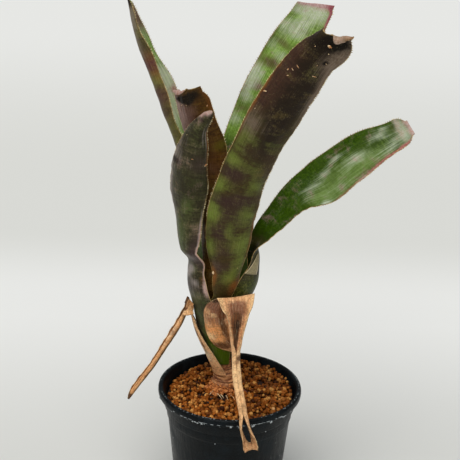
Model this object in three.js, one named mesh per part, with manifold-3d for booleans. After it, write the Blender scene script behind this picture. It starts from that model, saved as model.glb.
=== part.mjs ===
// A tank bromeliad in a round black nursery pot, in millimetres, with +Z up.
// The origin is the middle of the pot's flat underside; the plant's front faces -Y.
import * as THREE from "three";
import { mergeVertices } from "three/addons/utils/BufferGeometryUtils.js";
import Module from "manifold-3d";

const wasm = await Module();
wasm.setup();

// Between one piece and the next
const clearance = 0.35;

// Pot
const potHeight = 95;
const lipRadius = 52.5;
const lipWidth = 3.4;
const potWall = 1.4;
const potFloor = 2;
const potFoot = 38.4;
const potWallTop = 45.3;
const potBand = 46.4;
const potNeck = 48.4;
const potSides = 40;
const drainHoles = 6;
const drainHoleRadius = 4;
const drainCircle = 21;

// Grit, at the height where the plant stands in it and sloping up to the back and the right
const gritTop = 89;
const gritSlopeX = 0.055;
const gritSlopeY = 0.07;
const grainWidth = 5.8;
const grainCount = 200;
const grainSpread = 45.5;
const grainSeed = 11;
const dishRadius = 19;
const dishDepth = 2.5;
const dishSides = 20;
const crownHoleRadius = 11.4;
const crownHoleDepth = 14;

// Plant
const crown = { x: -4, y: 12 };
const stemRadius = 7;
const rootCount = 10;
const rootRadius = 0.9;
const rootSeed = 5;
const layerPitch = 1.45;
const uncut = [[-1, 0], [1, 0]];
const blade = { thick: 0.9, edge: 0.7, columns: 8, wave: 0.9, tipCut: uncut };
const dryBlade = { thick: 0.8, edge: 0.7, wave: 0, tipCut: uncut };
const waveLength = 36;
const cutFrom = 0.84;
const toothLength = 0.9;
const toothLean = 0.5;
const toothFoot = 0.7;
const toothSunk = 0.7;

const colours = {
  pot: 0x2b2f30,
  grit: 0x9a5a2c,
  stem: 0xb98a5e,
  leaf: 0x4a5a34,
  dryLeaf: 0xc2976a,
};

const degrees = Math.PI / 180;
const turn = 2 * Math.PI;

// A smooth curve through the values held at rising knots
function through(knots, values) {
  const last = knots.length - 1;
  const slope = (i) => (values[i + 1] - values[i]) / (knots[i + 1] - knots[i]);
  const tangent = values.map((_, i) => {
    if (i === 0) return slope(0);
    if (i === last) return slope(last - 1);
    const before = knots[i] - knots[i - 1];
    const after = knots[i + 1] - knots[i];
    return (slope(i) * before + slope(i - 1) * after) / (before + after);
  });
  return (at) => {
    let i = 0;
    while (i < last - 1 && at > knots[i + 1]) i += 1;
    const span = knots[i + 1] - knots[i];
    const u = (at - knots[i]) / span;
    const a = (1 + 2 * u) * (1 - u) * (1 - u);
    const b = u * (1 - u) * (1 - u) * span;
    const c = u * u * (3 - 2 * u);
    const d = u * u * (u - 1) * span;
    return a * values[i] + b * tangent[i] + c * values[i + 1] + d * tangent[i + 1];
  };
}

// The leaf bases nest round this axis and inside this radius, both by height
const bodyAxisX = through([70, 98, 116, 136, 150, 400], [-4, -4, -6, -8, -8, -8]);
const bodyRadius = through(
  [95, 103, 108, 116, 125, 136, 146, 160, 172, 182, 200],
  [9.1, 9.5, 11, 13.4, 16.4, 19.6, 22, 24.7, 27.2, 27.9, 27.6],
);

// A repeatable draw between 0 and 1
function makeDraw(seed) {
  let state = seed;
  return () => {
    state = (state * 1664525 + 1013904223) % 4294967296;
    return state / 4294967296;
  };
}

function toSolid(geometry) {
  const bare = geometry.index ? geometry.toNonIndexed() : geometry.clone();
  bare.deleteAttribute("normal");
  bare.deleteAttribute("uv");
  const merged = mergeVertices(bare, 1e-4);
  return new wasm.Manifold(
    new wasm.Mesh({
      numProp: 3,
      vertProperties: new Float32Array(merged.attributes.position.array),
      triVerts: new Uint32Array(merged.index.array),
    }),
  );
}

function join(solids) {
  return solids.reduce((all, next) => all.add(next));
}

function toGeometry(solid) {
  const mesh = solid.getMesh();
  const position = new Float32Array(mesh.numVert * 3);
  for (let i = 0; i < mesh.numVert; i += 1) {
    const from = i * mesh.numProp;
    position.set(mesh.vertProperties.subarray(from, from + 3), i * 3);
  }
  const geometry = new THREE.BufferGeometry();
  geometry.setAttribute("position", new THREE.BufferAttribute(position, 3));
  geometry.setIndex(new THREE.BufferAttribute(new Uint32Array(mesh.triVerts), 1));
  geometry.computeVertexNormals();
  return geometry;
}

// A profile of [radius, height] pairs turned round Z
function turned(profile, sides) {
  const points = profile.map(([radius, height]) => new THREE.Vector2(radius, height));
  return new THREE.LatheGeometry(points, sides).rotateX(Math.PI / 2);
}

function upright(bottomRadius, topRadius, bottom, top, sides) {
  const drum = new THREE.CylinderGeometry(topRadius, bottomRadius, top - bottom, sides);
  return drum.rotateX(Math.PI / 2).translate(0, 0, (top + bottom) / 2);
}

// The pot's inner wall from the floor up, with a margin kept off it
function potInside(margin) {
  return [
    [potFoot - potWall - margin, potFloor + margin],
    [potWallTop - potWall - margin, 71],
    [potNeck - potWall - margin, 87.5],
    [lipRadius - lipWidth - margin, potHeight],
  ];
}

function pot() {
  const shell = turned(
    [
      [0, 0],
      [potFoot - 1, 0],
      [potFoot, 1],
      [potWallTop, 72],
      [potBand - 0.3, 72.8],
      [potBand, 79.4],
      [potNeck - 0.7, 80.2],
      [potNeck, 88.6],
      [lipRadius, 89.6],
      [lipRadius, potHeight - 0.8],
      [lipRadius - 0.8, potHeight],
      ...potInside(0).reverse(),
      [0, potFloor],
    ],
    potSides,
  );
  const drains = [];
  for (let k = 0; k < drainHoles; k += 1) {
    const angle = (k / drainHoles) * turn;
    const drill = upright(drainHoleRadius, drainHoleRadius, -1, potFloor + 1, 12);
    drill.translate(drainCircle * Math.cos(angle), drainCircle * Math.sin(angle), 0);
    drains.push(toSolid(drill));
  }
  return toSolid(shell).subtract(join(drains));
}

// Short roots that run out from the crown and lie on the grit
function roots() {
  const draw = makeDraw(rootSeed);
  const tubes = [];
  for (let k = 0; k < rootCount; k += 1) {
    const angle = ((k + 0.4 * draw()) / rootCount) * turn;
    const bend = 0.3 * (draw() - 0.5);
    const reach = 14 + 3 * draw();
    const at = (radius, height, sweep) =>
      new THREE.Vector3(
        crown.x + radius * Math.cos(angle + sweep),
        crown.y + radius * Math.sin(angle + sweep),
        gritTop + height,
      );
    const route = new THREE.CatmullRomCurve3([
      at(6.5, 4.5, 0),
      at(10.5, 3.2, bend / 2),
      at(reach, 2, bend),
    ]);
    const section = new THREE.Shape();
    section.absarc(0, 0, rootRadius, 0, turn);
    const options = { steps: 3, curveSegments: 3, extrudePath: route, bevelEnabled: false };
    tubes.push(toSolid(new THREE.ExtrudeGeometry(section, options)));
  }
  return join(tubes);
}

// The crown with the two scars of lost leaves, and the core that carries the leaf bases
function stem() {
  const profile = [
    [0, gritTop - crownHoleDepth],
    [5, gritTop - crownHoleDepth],
    [8, gritTop - 5],
    [10.6, gritTop + 0.5],
    [10.3, gritTop + 4],
    [8.4, gritTop + 7],
    [9, gritTop + 8.2],
    [8.2, gritTop + 9.2],
    [8.8, gritTop + 10.2],
    [stemRadius + 0.2, gritTop + 11.4],
    [stemRadius, 122],
    [stemRadius - 0.9, 131],
    [4.4, 137],
    [0, 140],
  ];
  const core = turned(profile, 18);
  const position = core.getAttribute("position");
  for (let i = 0; i < position.count; i += 1) {
    position.setX(i, position.getX(i) + bodyAxisX(position.getZ(i)));
    position.setY(i, position.getY(i) + crown.y);
  }
  return toSolid(core).add(roots());
}

// The grit fills the pot: a bed with a layer of rough grains fused in its top, a shallow dish
// round the crown and a plain hole for the stem
function grit() {
  const fill = toSolid(
    turned([[0, potFloor + clearance], ...potInside(clearance), [0, potHeight]], potSides),
  );
  const surface = (x, y) => gritTop + gritSlopeX * (x - crown.x) + gritSlopeY * (y - crown.y);
  const under = new THREE.BoxGeometry(200, 200, 200).translate(0, 0, -100);
  under.rotateX(Math.atan(gritSlopeY)).rotateY(-Math.atan(gritSlopeX));
  under.translate(0, 0, surface(0, 0) - grainWidth / 4);
  const draw = makeDraw(grainSeed);
  const grains = [];
  for (let k = 0; k < grainCount; k += 1) {
    const radius = grainSpread * Math.sqrt((k + 0.5) / grainCount);
    const angle = k * 2.39996;
    const x = radius * Math.cos(angle) + draw() - 0.5;
    const y = radius * Math.sin(angle) + draw() - 0.5;
    const grain = new THREE.OctahedronGeometry(grainWidth / 2);
    grain.scale(1 + 0.3 * draw(), 1 + 0.3 * draw(), 0.9 + 0.2 * draw());
    grain.rotateX(draw() * turn).rotateY(draw() * turn);
    grain.translate(x, y, surface(x, y) - grainWidth / 5 + 0.8 * (draw() - 0.5));
    grains.push(toSolid(grain));
  }
  const brim = gritTop + 1;
  const holeBottom = gritTop - crownHoleDepth - clearance;
  const dish = upright(crownHoleRadius + 1, dishRadius, gritTop - dishDepth, brim, dishSides);
  const above = upright(dishRadius, dishRadius, brim - 0.1, potHeight + 5, dishSides);
  const hole = upright(crownHoleRadius, crownHoleRadius, holeBottom, gritTop, dishSides);
  const cuts = [dish, above, hole].map((part) => toSolid(part.translate(crown.x, crown.y, 0)));
  const bed = fill.intersect(toSolid(under)).add(fill.intersect(join(grains)));
  return bed.subtract(join(cuts));
}

// A row of a leaf's base: its height, the way it faces, how far it reaches to its left and its
// right round the plant (degrees), and how far its middle swells out.
function baseStation(layer, [z, facing, spanLeft, spanRight, swell = 0]) {
  const radius = bodyRadius(z) - layer * layerPitch - blade.thick / 2;
  return {
    x: bodyAxisX(z) + (radius + swell) * Math.cos(facing * degrees),
    y: crown.y + (radius + swell) * Math.sin(facing * degrees),
    z,
    left: radius * spanLeft * degrees,
    right: radius * spanRight * degrees,
    curlLeft: spanLeft,
    curlRight: spanRight,
    side: facing + 90,
    roll: 0,
    swell,
    base: 1,
  };
}

// A row of a leaf's blade: its midrib, its half width, how far each half is curled to the inner
// face, the way its right-hand side points, and a roll about the midrib (degrees).
function bladeStation([x, y, z, half, curlLeft, curlRight, side, roll = 0]) {
  return { x, y, z, left: half, right: half, curlLeft, curlRight, side, roll, swell: 0, base: 0 };
}

// The middle surface of a leaf: t runs from its foot (0) to its tip (1), and s from its left
// edge (-1) to its right edge (1). Where a tip ends aslant, tipCut holds by how much it is
// shorter at some values of s.
function leafSurface(leaf) {
  const stations = [
    ...leaf.base.map((row) => baseStation(leaf.layer, row)),
    ...leaf.blade.map((row) => bladeStation(row)),
  ];
  const knots = [0];
  stations.slice(1).forEach((here, i) => {
    const before = stations[i];
    knots.push(knots[i] + Math.hypot(here.x - before.x, here.y - before.y, here.z - before.z));
  });
  const length = knots[knots.length - 1];
  const at = {};
  Object.keys(stations[0]).forEach((name) => {
    at[name] = through(knots, stations.map((here) => here[name]));
  });
  const middle = (d) => new THREE.Vector3(at.x(d), at.y(d), at.z(d));
  const cut = through(leaf.tipCut.map(([s]) => s), leaf.tipCut.map(([, depth]) => depth));
  const point = (t, s) => {
    const d = t * length - cut(s) * THREE.MathUtils.smoothstep(t, cutFrom, 1);
    const curl = Math.max(0.5, s < 0 ? at.curlLeft(d) : at.curlRight(d)) * degrees;
    const base = Math.min(1, Math.max(0, at.base(d)));
    const z = at.z(d);
    const azimuth = (at.side(d) - 90) * degrees + s * curl;
    const swell = at.swell(d) * (1 - s * s) ** 3;
    const radius = bodyRadius(z) - leaf.layer * layerPitch - blade.thick / 2 + swell;
    const clasping = new THREE.Vector3(
      bodyAxisX(z) + radius * Math.cos(azimuth),
      crown.y + radius * Math.sin(azimuth),
      z,
    );
    if (base === 1) return clasping;
    const step = 0.4;
    const along = middle(Math.min(d + step, length)).sub(middle(Math.max(d - step, 0))).normalize();
    const side = new THREE.Vector3(Math.cos(at.side(d) * degrees), Math.sin(at.side(d) * degrees), 0);
    side.addScaledVector(along, -side.dot(along)).normalize();
    const inward = along.clone().cross(side);
    const roll = at.roll(d) * degrees;
    const across = side.clone().multiplyScalar(Math.cos(roll)).addScaledVector(inward, Math.sin(roll));
    inward.multiplyScalar(Math.cos(roll)).addScaledVector(side, -Math.sin(roll));
    const [tipLength, tipWidth] = s < 0 ? leaf.tipLeft : leaf.tipRight;
    const fromTip = Math.max(0, 1 - (length - d) / tipLength);
    const narrowing = Math.max(tipWidth, Math.sqrt(1 - fromTip ** 2));
    const half = (s < 0 ? at.left(d) : at.right(d)) * narrowing;
    const wave = leaf.wave * narrowing * Math.sin((d / waveLength) * turn + s) * Math.abs(s) ** 3;
    const out = (half * Math.sin(curl * Math.abs(s))) / curl;
    const inn = (half * (1 - Math.cos(curl * Math.abs(s)))) / curl + wave;
    const open = middle(d).addScaledVector(across, Math.sign(s) * out).addScaledVector(inward, inn);
    return open.lerp(clasping, base);
  };
  return { point, length };
}

// The direction out of a leaf's outer face
function outOf(point, t, s) {
  const h = 0.003;
  const along = point(Math.min(1, t + h), s).sub(point(Math.max(0, t - h), s));
  const across = point(t, Math.min(1, s + h)).sub(point(t, Math.max(-1, s - h)));
  return across.cross(along).normalize();
}

// The blade as one closed shell: an inner and an outer sheet with the same triangles, and a rim
function leafGeometry(leaf) {
  const { point } = leafSurface(leaf);
  const { rows, columns } = leaf;
  const stride = columns + 1;
  const layer = (rows + 1) * stride;
  const position = [];
  [-1, 1].forEach((face) => {
    for (let i = 0; i <= rows; i += 1) {
      const t = i / rows;
      for (let j = 0; j <= columns; j += 1) {
        const s = (2 * j) / columns - 1;
        const thickness = leaf.edge + (leaf.thick - leaf.edge) * (1 - s * s);
        const offset = outOf(point, t, s).multiplyScalar((face * thickness) / 2);
        position.push(...point(t, s).add(offset).toArray());
      }
    }
  });
  const index = [];
  const quad = (a, b, c, d) => index.push(a, b, c, a, c, d);
  for (let i = 0; i < rows; i += 1) {
    for (let j = 0; j < columns; j += 1) {
      const a = i * stride + j;
      const b = a + stride;
      quad(a, b, b + 1, a + 1);
      index.push(layer + a, layer + b + 1, layer + b);
      index.push(layer + a, layer + a + 1, layer + b + 1);
    }
    const left = i * stride;
    const right = left + columns;
    quad(left, layer + left, layer + left + stride, left + stride);
    quad(right, right + stride, layer + right + stride, layer + right);
  }
  for (let j = 0; j < columns; j += 1) {
    const tip = rows * stride + j;
    quad(j, j + 1, layer + j + 1, layer + j);
    quad(tip, layer + tip, layer + tip + 1, tip + 1);
  }
  const geometry = new THREE.BufferGeometry();
  geometry.setAttribute("position", new THREE.Float32BufferAttribute(position, 3));
  geometry.setIndex(index);
  return geometry;
}

// A closed body on four corners, whichever way round they are given
function tetrahedron(a, b, c, d) {
  const facing = b.clone().sub(a).cross(c.clone().sub(a)).dot(d.clone().sub(a));
  const corners = facing < 0 ? [a, b, c, d] : [a, c, b, d];
  const geometry = new THREE.BufferGeometry();
  const position = corners.flatMap((corner) => corner.toArray());
  geometry.setAttribute("position", new THREE.Float32BufferAttribute(position, 3));
  geometry.setIndex([0, 1, 2, 0, 3, 1, 1, 3, 2, 2, 3, 0]);
  return geometry;
}

// Small teeth along both margins, sunk in the blade's edge and leaning to the tip
function edgeTeeth(leaf) {
  const { point } = leafSurface(leaf);
  const teeth = [];
  [-1, 1].forEach((edge) => {
    for (let row = leaf.firstTooth; row < leaf.rows; row += 1) {
      const t = row / leaf.rows;
      const foot = point(t, edge);
      const outward = foot.clone().sub(point(t, edge * 0.9)).normalize();
      const along = point(t, edge).sub(point(t - 0.004, edge)).normalize();
      const up = outOf(point, t, edge).multiplyScalar(toothFoot / 3);
      const inside = foot.clone().addScaledVector(outward, -toothSunk);
      const ahead = inside.clone().addScaledVector(along, toothFoot);
      const behind = inside.clone().addScaledVector(along, -toothFoot);
      const tip = foot.clone().addScaledVector(outward, toothLength).addScaledVector(along, toothLean);
      teeth.push(toSolid(tetrahedron(behind, ahead.clone().add(up), ahead.clone().sub(up), tip)));
    }
  });
  return join(teeth);
}

// Living leaves, from the outermost base to the innermost
const livingLeaves = {
  leaf_front_left: {
    ...blade,
    layer: 2,
    rows: 23,
    firstTooth: 11,
    tipLeft: [26, 0.12],
    tipRight: [16, 0.12],
    base: [
      [109, -140, 80, 80],
      [126, -140, 85, 80],
      [142, -140, 85, 66],
      [154, -140, 78, 46],
      [167, -140, 60, 31, 1.4],
      [179, -140, 44, 24, 2.4],
      [189, -140, 28, 20, 2.4],
    ],
    blade: [
      [-34.4, -7, 201.8, 11.1, 47, 41.7, -50.3],
      [-35.6, -9, 217.5, 13, 45.9, 48.5, -45.4],
      [-35.4, -11, 234.8, 15, 40.3, 59.1, -38.3],
      [-34.4, -14, 255.7, 16.3, 38.1, 77.4, -31.2],
      [-30.6, -17, 277, 12.6, 33.6, 79.5, -24.5],
      [-26.6, -20, 294.6, 7.5, 45.2, 76.1, -26.3],
      [-16.9, -23, 307.3, 5.1, 50.1, 72.7, -26.4],
    ],
  },
  leaf_front: {
    ...blade,
    layer: 3,
    rows: 28,
    firstTooth: 11,
    tipLeft: [34, 0.25],
    tipRight: [14, 0.7],
    tipCut: [[-1, 9], [-0.3, 9], [0.1, 6.5], [1, 0]],
    base: [
      [114, -88, 72, 72],
      [136, -88, 75, 75],
      [150, -88, 64, 60],
      [161, -88, 34, 34],
      [170, -88, 17, 17],
    ],
    blade: [
      [-4.5, -12, 185.9, 10.3, 37.1, 40.6, 6.1],
      [-4.1, -13.5, 207.9, 16.1, 39.8, 38.1, 4.7],
      [-2.1, -17, 231.1, 17.8, 37.6, 38.8, 4.8],
      [4.5, -24, 261.2, 16.8, 37.9, 36.9, -0.5],
      [11.1, -29, 280.8, 16.5, 38.8, 38, -4.3],
      [22.4, -37.5, 307, 17.5, 40.1, 38.5, -6.9],
      [33.1, -45, 329.4, 16.8, 46.1, 36, -10.3],
      [44.1, -51, 349.7, 15.4, 63.3, 30.9, -11.1],
      [53, -54, 362.7, 16.7, 93.1, 22.5, -18.7],
      [57.4, -57, 371.2, 16.6, 83.7, 14.3, -17.7],
    ],
  },
  leaf_right: {
    ...blade,
    layer: 4,
    rows: 25,
    firstTooth: 11,
    tipLeft: [10, 0.6],
    tipRight: [9, 0.55],
    base: [
      [118, 15, 85, 85],
      [136, 15, 85, 85],
      [150, 15, 88, 75],
      [163, 15, 88, 65, 3],
      [174, 15, 80, 50, 5],
      [184, 15, 64, 36, 5],
      [193, 15, 32, 24, 5],
    ],
    blade: [
      [21.4, 20, 205.7, 10.3, 43, 40.3, 108.5, 22],
      [32.7, 22, 219.8, 11.3, 45.2, 29.5, 105.9, 34],
      [46.3, 24, 234.8, 14.5, 40, 25.1, 105.3, 40],
      [62.1, 27, 243.9, 17.7, 22.9, 19.8, 107, 42],
      [77.8, 30, 257, 17, 19.6, 20.3, 106.7, 42],
      [95.3, 32, 269, 15.2, 23.5, 20.8, 105.3, 42],
      [110.9, 34, 277.6, 12, 26, 20.1, 104.3, 42],
      [121.9, 35, 284.3, 10.8, 24.4, 19.6, 104.3, 40],
    ],
  },
  leaf_back_left: {
    ...blade,
    layer: 5,
    rows: 25,
    firstTooth: 11,
    tipLeft: [50, 0.1],
    tipRight: [50, 0.1],
    base: [
      [122, 152, 72, 72],
      [142, 152, 75, 75],
      [162, 152, 65, 65],
      [180, 152, 45, 45],
      [195, 152, 28, 28],
    ],
    blade: [
      [-30.7, 24, 216.5, 12.8, 69.4, 70, -111.1],
      [-35.1, 26, 240.7, 15.3, 84.2, 85, -108.6],
      [-42, 28.5, 267.3, 16.4, 93.5, 95.6, -107.1],
      [-52.1, 32, 293.7, 16, 95.1, 92.8, -109.9],
      [-61.8, 36, 317.2, 14.2, 87.6, 107.9, -101.7],
      [-71.3, 40, 339.5, 11.3, 78.9, 100, -101.4],
      [-78, 44, 366.5, 10.9, 80.7, 89, -101.3],
    ],
  },
  leaf_back_right: {
    ...blade,
    layer: 6,
    rows: 26,
    firstTooth: 11,
    tipLeft: [6, 0.92],
    tipRight: [10, 0.85],
    tipCut: [[-1, 0], [0, 3.5], [1, 8]],
    base: [
      [126, 52, 72, 72],
      [146, 52, 72, 72],
      [164, 52, 60, 60],
      [180, 52, 42, 42],
      [194, 52, 28, 28],
    ],
    blade: [
      [1.7, 28.5, 214.1, 12.3, 44.8, 44.7, 148.4],
      [2, 28.5, 236.1, 14.9, 37.7, 37.6, 155.5],
      [4.8, 29, 262.2, 16.8, 31.4, 31.2, 163.1],
      [13.1, 32, 292.1, 16.5, 24.9, 25.1, 167.6],
      [26, 36.5, 321.7, 16.1, 17.8, 20.2, 168.2],
      [40.4, 41, 345.7, 15.7, 15.6, 20.1, 167.9],
      [49.5, 45, 362, 13, 11.9, 20.5, 168.5],
      [53.2, 47, 370.1, 13, 12.8, 20.2, 168.5],
    ],
  },
  leaf_inner_left: {
    ...blade,
    layer: 7,
    rows: 21,
    firstTooth: 10,
    tipLeft: [5, 0.9],
    tipRight: [11, 0.75],
    base: [
      [130, -112, 72, 72],
      [150, -112, 70, 70],
      [166, -112, 60, 60],
      [180, -112, 44, 44],
      [195, -112, 32, 32],
    ],
    blade: [
      [-16, -3.5, 212.4, 10.9, 51.7, 50.6, -18],
      [-17.5, -3.5, 230.6, 13.8, 47.5, 45.9, -16.1],
      [-20.8, -4.5, 251, 14.7, 44.6, 41.6, -14.1],
      [-21.9, -5.5, 273.9, 15.1, 44.4, 38, -12.3],
      [-27.8, -8, 294.9, 13.8, 50.2, 38.4, -11.1],
      [-33.4, -11, 318.1, 11.5, 40.5, 42.4, -6.6],
    ],
  },
};

// Dry leaves: the bases still clasp the plant, and the rolled blades bend over and hang
const dryLeaves = {
  dry_leaf_left: {
    ...dryBlade,
    layer: 0,
    rows: 28,
    columns: 8,
    tipLeft: [8, 0.4],
    tipRight: [8, 0.4],
    base: [
      [100, -165, 84, 84],
      [111, -165, 84, 62],
      [120, -165, 70, 48],
      [129, -165, 50, 35],
      [141, -165, 30, 20],
      [151, -165, 17, 10],
    ],
    blade: [
      [-30.4, 5.5, 156.8, 5.3, 24.9, 25, -74.9],
      [-31.2, 4.5, 158.9, 4.4, 39.7, 40, -74.8],
      [-31.2, 3, 156.4, 3.9, 95.3, 95, -75],
      [-33.7, 1, 148.9, 4.9, 129.4, 130, -75.2],
      [-40.5, -4, 136.8, 5.8, 145.2, 145, -75.1],
      [-54.6, -10, 114.5, 5.1, 146.9, 145.1, -75.1],
      [-68.3, -15, 96, 4.7, 146.2, 145, -75],
      [-72.9, -16.5, 89.8, 3.5, 145.8, 144.9, -74.6],
    ],
  },
  dry_leaf_front: {
    ...dryBlade,
    layer: 1,
    rows: 38,
    columns: 10,
    tipLeft: [3, 0.8],
    tipRight: [3, 0.8],
    base: [
      [105, 30, 75, 75],
      [119, 25, 72, 72],
      [128, -15, 92, 86],
      [137, -35, 86, 82],
      [148, -54, 70, 66],
      [158, -62, 60, 58],
      [165, -66, 46, 46],
    ],
    blade: [
      [2.2, -14, 171.3, 13.8, 8, 8, 8, 5],
      [2.3, -17, 172.8, 13.2, 10, 10, 6, 7],
      [2.6, -20, 170.6, 13, 35, 35, 6, 5],
      [3, -23.5, 163, 12, 88, 88, 6],
      [3, -28.5, 148, 9.5, 130, 130, 6],
      [3.2, -34, 134.5, 8, 160, 160, 6],
      [5, -42.5, 119, 8, 165, 165, 6],
      [9, -53, 103, 8.2, 162, 162, 4],
      [11.2, -57.5, 93, 8, 135, 135, 2],
      [14.5, -59.5, 84, 7.8, 95, 95, 0],
      [16, -60.5, 78, 7.5, 70, 70, 0],
    ],
  },
};

function piece(name, geometry, colour, roughness) {
  const material = new THREE.MeshStandardMaterial({ color: colour, roughness, metalness: 0 });
  const mesh = new THREE.Mesh(geometry, material);
  mesh.name = name;
  return mesh;
}

const plant = new THREE.Group();
plant.add(piece("pot", toGeometry(pot()), colours.pot, 0.45));
plant.add(piece("grit", toGeometry(grit()), colours.grit, 0.95));
plant.add(piece("stem", toGeometry(stem()), colours.stem, 0.8));
Object.entries(livingLeaves).forEach(([name, leaf]) => {
  const solid = toSolid(leafGeometry(leaf)).add(edgeTeeth(leaf));
  plant.add(piece(name, toGeometry(solid), colours.leaf, 0.5));
});
Object.entries(dryLeaves).forEach(([name, leaf]) => {
  plant.add(piece(name, leafGeometry(leaf), colours.dryLeaf, 0.8));
});

export default plant;
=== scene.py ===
import math
import random

import bmesh
import bpy
from mathutils import Matrix, Vector, noise


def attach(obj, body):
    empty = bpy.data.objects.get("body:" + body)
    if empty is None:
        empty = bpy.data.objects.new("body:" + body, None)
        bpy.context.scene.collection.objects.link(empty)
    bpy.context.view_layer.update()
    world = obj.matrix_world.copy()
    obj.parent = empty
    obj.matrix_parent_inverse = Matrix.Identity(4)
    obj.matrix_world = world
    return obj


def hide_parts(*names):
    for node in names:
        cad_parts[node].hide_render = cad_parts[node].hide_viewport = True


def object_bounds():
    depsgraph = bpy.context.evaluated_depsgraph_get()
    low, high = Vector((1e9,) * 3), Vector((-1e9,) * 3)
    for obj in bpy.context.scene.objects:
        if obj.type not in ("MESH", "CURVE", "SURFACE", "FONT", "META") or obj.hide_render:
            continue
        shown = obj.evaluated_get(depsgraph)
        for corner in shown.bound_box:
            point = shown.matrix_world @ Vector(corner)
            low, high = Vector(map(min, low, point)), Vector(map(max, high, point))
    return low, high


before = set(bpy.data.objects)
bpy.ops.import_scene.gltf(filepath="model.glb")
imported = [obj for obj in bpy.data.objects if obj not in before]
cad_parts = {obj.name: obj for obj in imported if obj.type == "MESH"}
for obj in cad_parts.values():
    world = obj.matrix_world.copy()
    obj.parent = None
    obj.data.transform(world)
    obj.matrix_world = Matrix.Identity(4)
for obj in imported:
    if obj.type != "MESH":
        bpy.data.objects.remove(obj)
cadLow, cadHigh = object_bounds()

mm = 0.001
fullTurn = 2 * math.pi


# Small helpers for meshes and pieces. Lengths in the dictionaries are millimetres.

def addObject(name, data):
    thing = bpy.data.objects.new(name, data)
    bpy.context.scene.collection.objects.link(thing)
    return thing


def toMesh(name, bm):
    mesh = bpy.data.meshes.new(name)
    bm.to_mesh(mesh)
    bm.free()
    return mesh


def addPiece(name, bm, materials, slotName, nodes=()):
    mesh = toMesh(name, bm)
    for material in materials:
        mesh.materials.append(material)
    mesh.shade_smooth()
    piece = addObject(name, mesh)
    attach(piece, "root")
    if nodes:
        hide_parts(*nodes)
    return piece


def setTones(piece, tones):
    layer = piece.data.attributes.new("tone", "FLOAT", "POINT")
    layer.data.foreach_set("value", tones)


def smoothstep(low, high, value):
    share = min(1, max(0, (value - low) / (high - low)))
    return share * share * (3 - 2 * share)


def through(knots, values):
    # a smooth curve through values held at rising knots
    last = len(knots) - 1

    def slope(i):
        return (values[i + 1] - values[i]) / (knots[i + 1] - knots[i])

    tangents = []
    for i in range(last + 1):
        if i in (0, last):
            tangents.append(slope(min(i, last - 1)))
        else:
            before = knots[i] - knots[i - 1]
            after = knots[i + 1] - knots[i]
            tangents.append((slope(i) * before + slope(i - 1) * after) / (before + after))

    def at(place):
        i = 0
        while i < last - 1 and place > knots[i + 1]:
            i += 1
        span = knots[i + 1] - knots[i]
        u = (place - knots[i]) / span
        a = (1 + 2 * u) * (1 - u) * (1 - u)
        b = u * (1 - u) * (1 - u) * span
        c = u * u * (3 - 2 * u)
        d = u * u * (u - 1) * span
        return a * values[i] + b * tangents[i] + c * values[i + 1] + d * tangents[i + 1]

    return at


def outwardAt(angle):
    return Vector((math.cos(angle), math.sin(angle), 0))


def anyWay(draw):
    # a vector whose three parts are each drawn between -1 and 1
    return Vector([draw.uniform(-1, 1) for _ in range(3)])


def addTube(bm, route, radii, sides):
    # a closed tube along a short route, with a radius at each of its points
    last = len(route) - 1
    made = bmesh.ops.create_grid(bm, x_segments=sides, y_segments=last, size=1)
    heading = (route[-1] - route[0]).normalized()
    start = heading.orthogonal().normalized()
    rings = {}
    for i, point in enumerate(route):
        along = (route[min(last, i + 1)] - route[max(0, i - 1)]).normalized()
        side = (start - along * start.dot(along)).normalized()
        rings[i] = (point, side, along.cross(side), radii[i])
    for vert in made["verts"]:
        angle = (vert.co.x + 1) / 2 * fullTurn
        point, side, up, radius = rings[round((vert.co.y + 1) / 2 * last)]
        vert.co = point + (side * math.cos(angle) + up * math.sin(angle)) * radius
    bmesh.ops.remove_doubles(bm, verts=made["verts"], dist=1e-7)
    alive = [vert for vert in made["verts"] if vert.is_valid]
    edges = {edge for vert in alive for edge in vert.link_edges if edge.is_boundary}
    bmesh.ops.holes_fill(bm, edges=list(edges), sides=sides)


def addTurned(bm, profile, sides):
    # a solid of revolution from rows of radius and height
    verts = [bm.verts.new((radius * mm, 0, z * mm)) for radius, z in profile]
    edges = [bm.edges.new(pair) for pair in zip(verts, verts[1:])]
    bmesh.ops.spin(bm, geom=verts + edges, axis=(0, 0, 1), cent=(0, 0, 0), angle=fullTurn,
                   steps=sides, use_merge=True)
    bmesh.ops.remove_doubles(bm, verts=bm.verts, dist=1e-6)


def addBead(bm, radius, place):
    return bmesh.ops.create_icosphere(bm, subdivisions=2, radius=radius, matrix=place)["verts"]


def unwrap(bm, width=1, height=1):
    # a flat grid's own places become its UV map
    uvMap = bm.loops.layers.uv.new("blade")
    for face in bm.faces:
        for loop in face.loops:
            x, y = loop.vert.co.xy
            loop[uvMap].uv = ((x + 1) / 2 * width, (y + 1) / 2 * height)


def thicken(piece, thick):
    shell = piece.modifiers.new("thickness", "SOLIDIFY")
    shell.thickness = thick * mm
    return shell


# Small helpers for materials

def colour(text):
    # an sRGB colour written as #rrggbb, made linear
    parts = [int(text[i:i + 2], 16) / 255 for i in (1, 3, 5)]
    linear = [part / 12.92 if part <= 0.04045 else ((part + 0.055) / 1.055) ** 2.4 for part in parts]
    return (*linear, 1)


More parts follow.
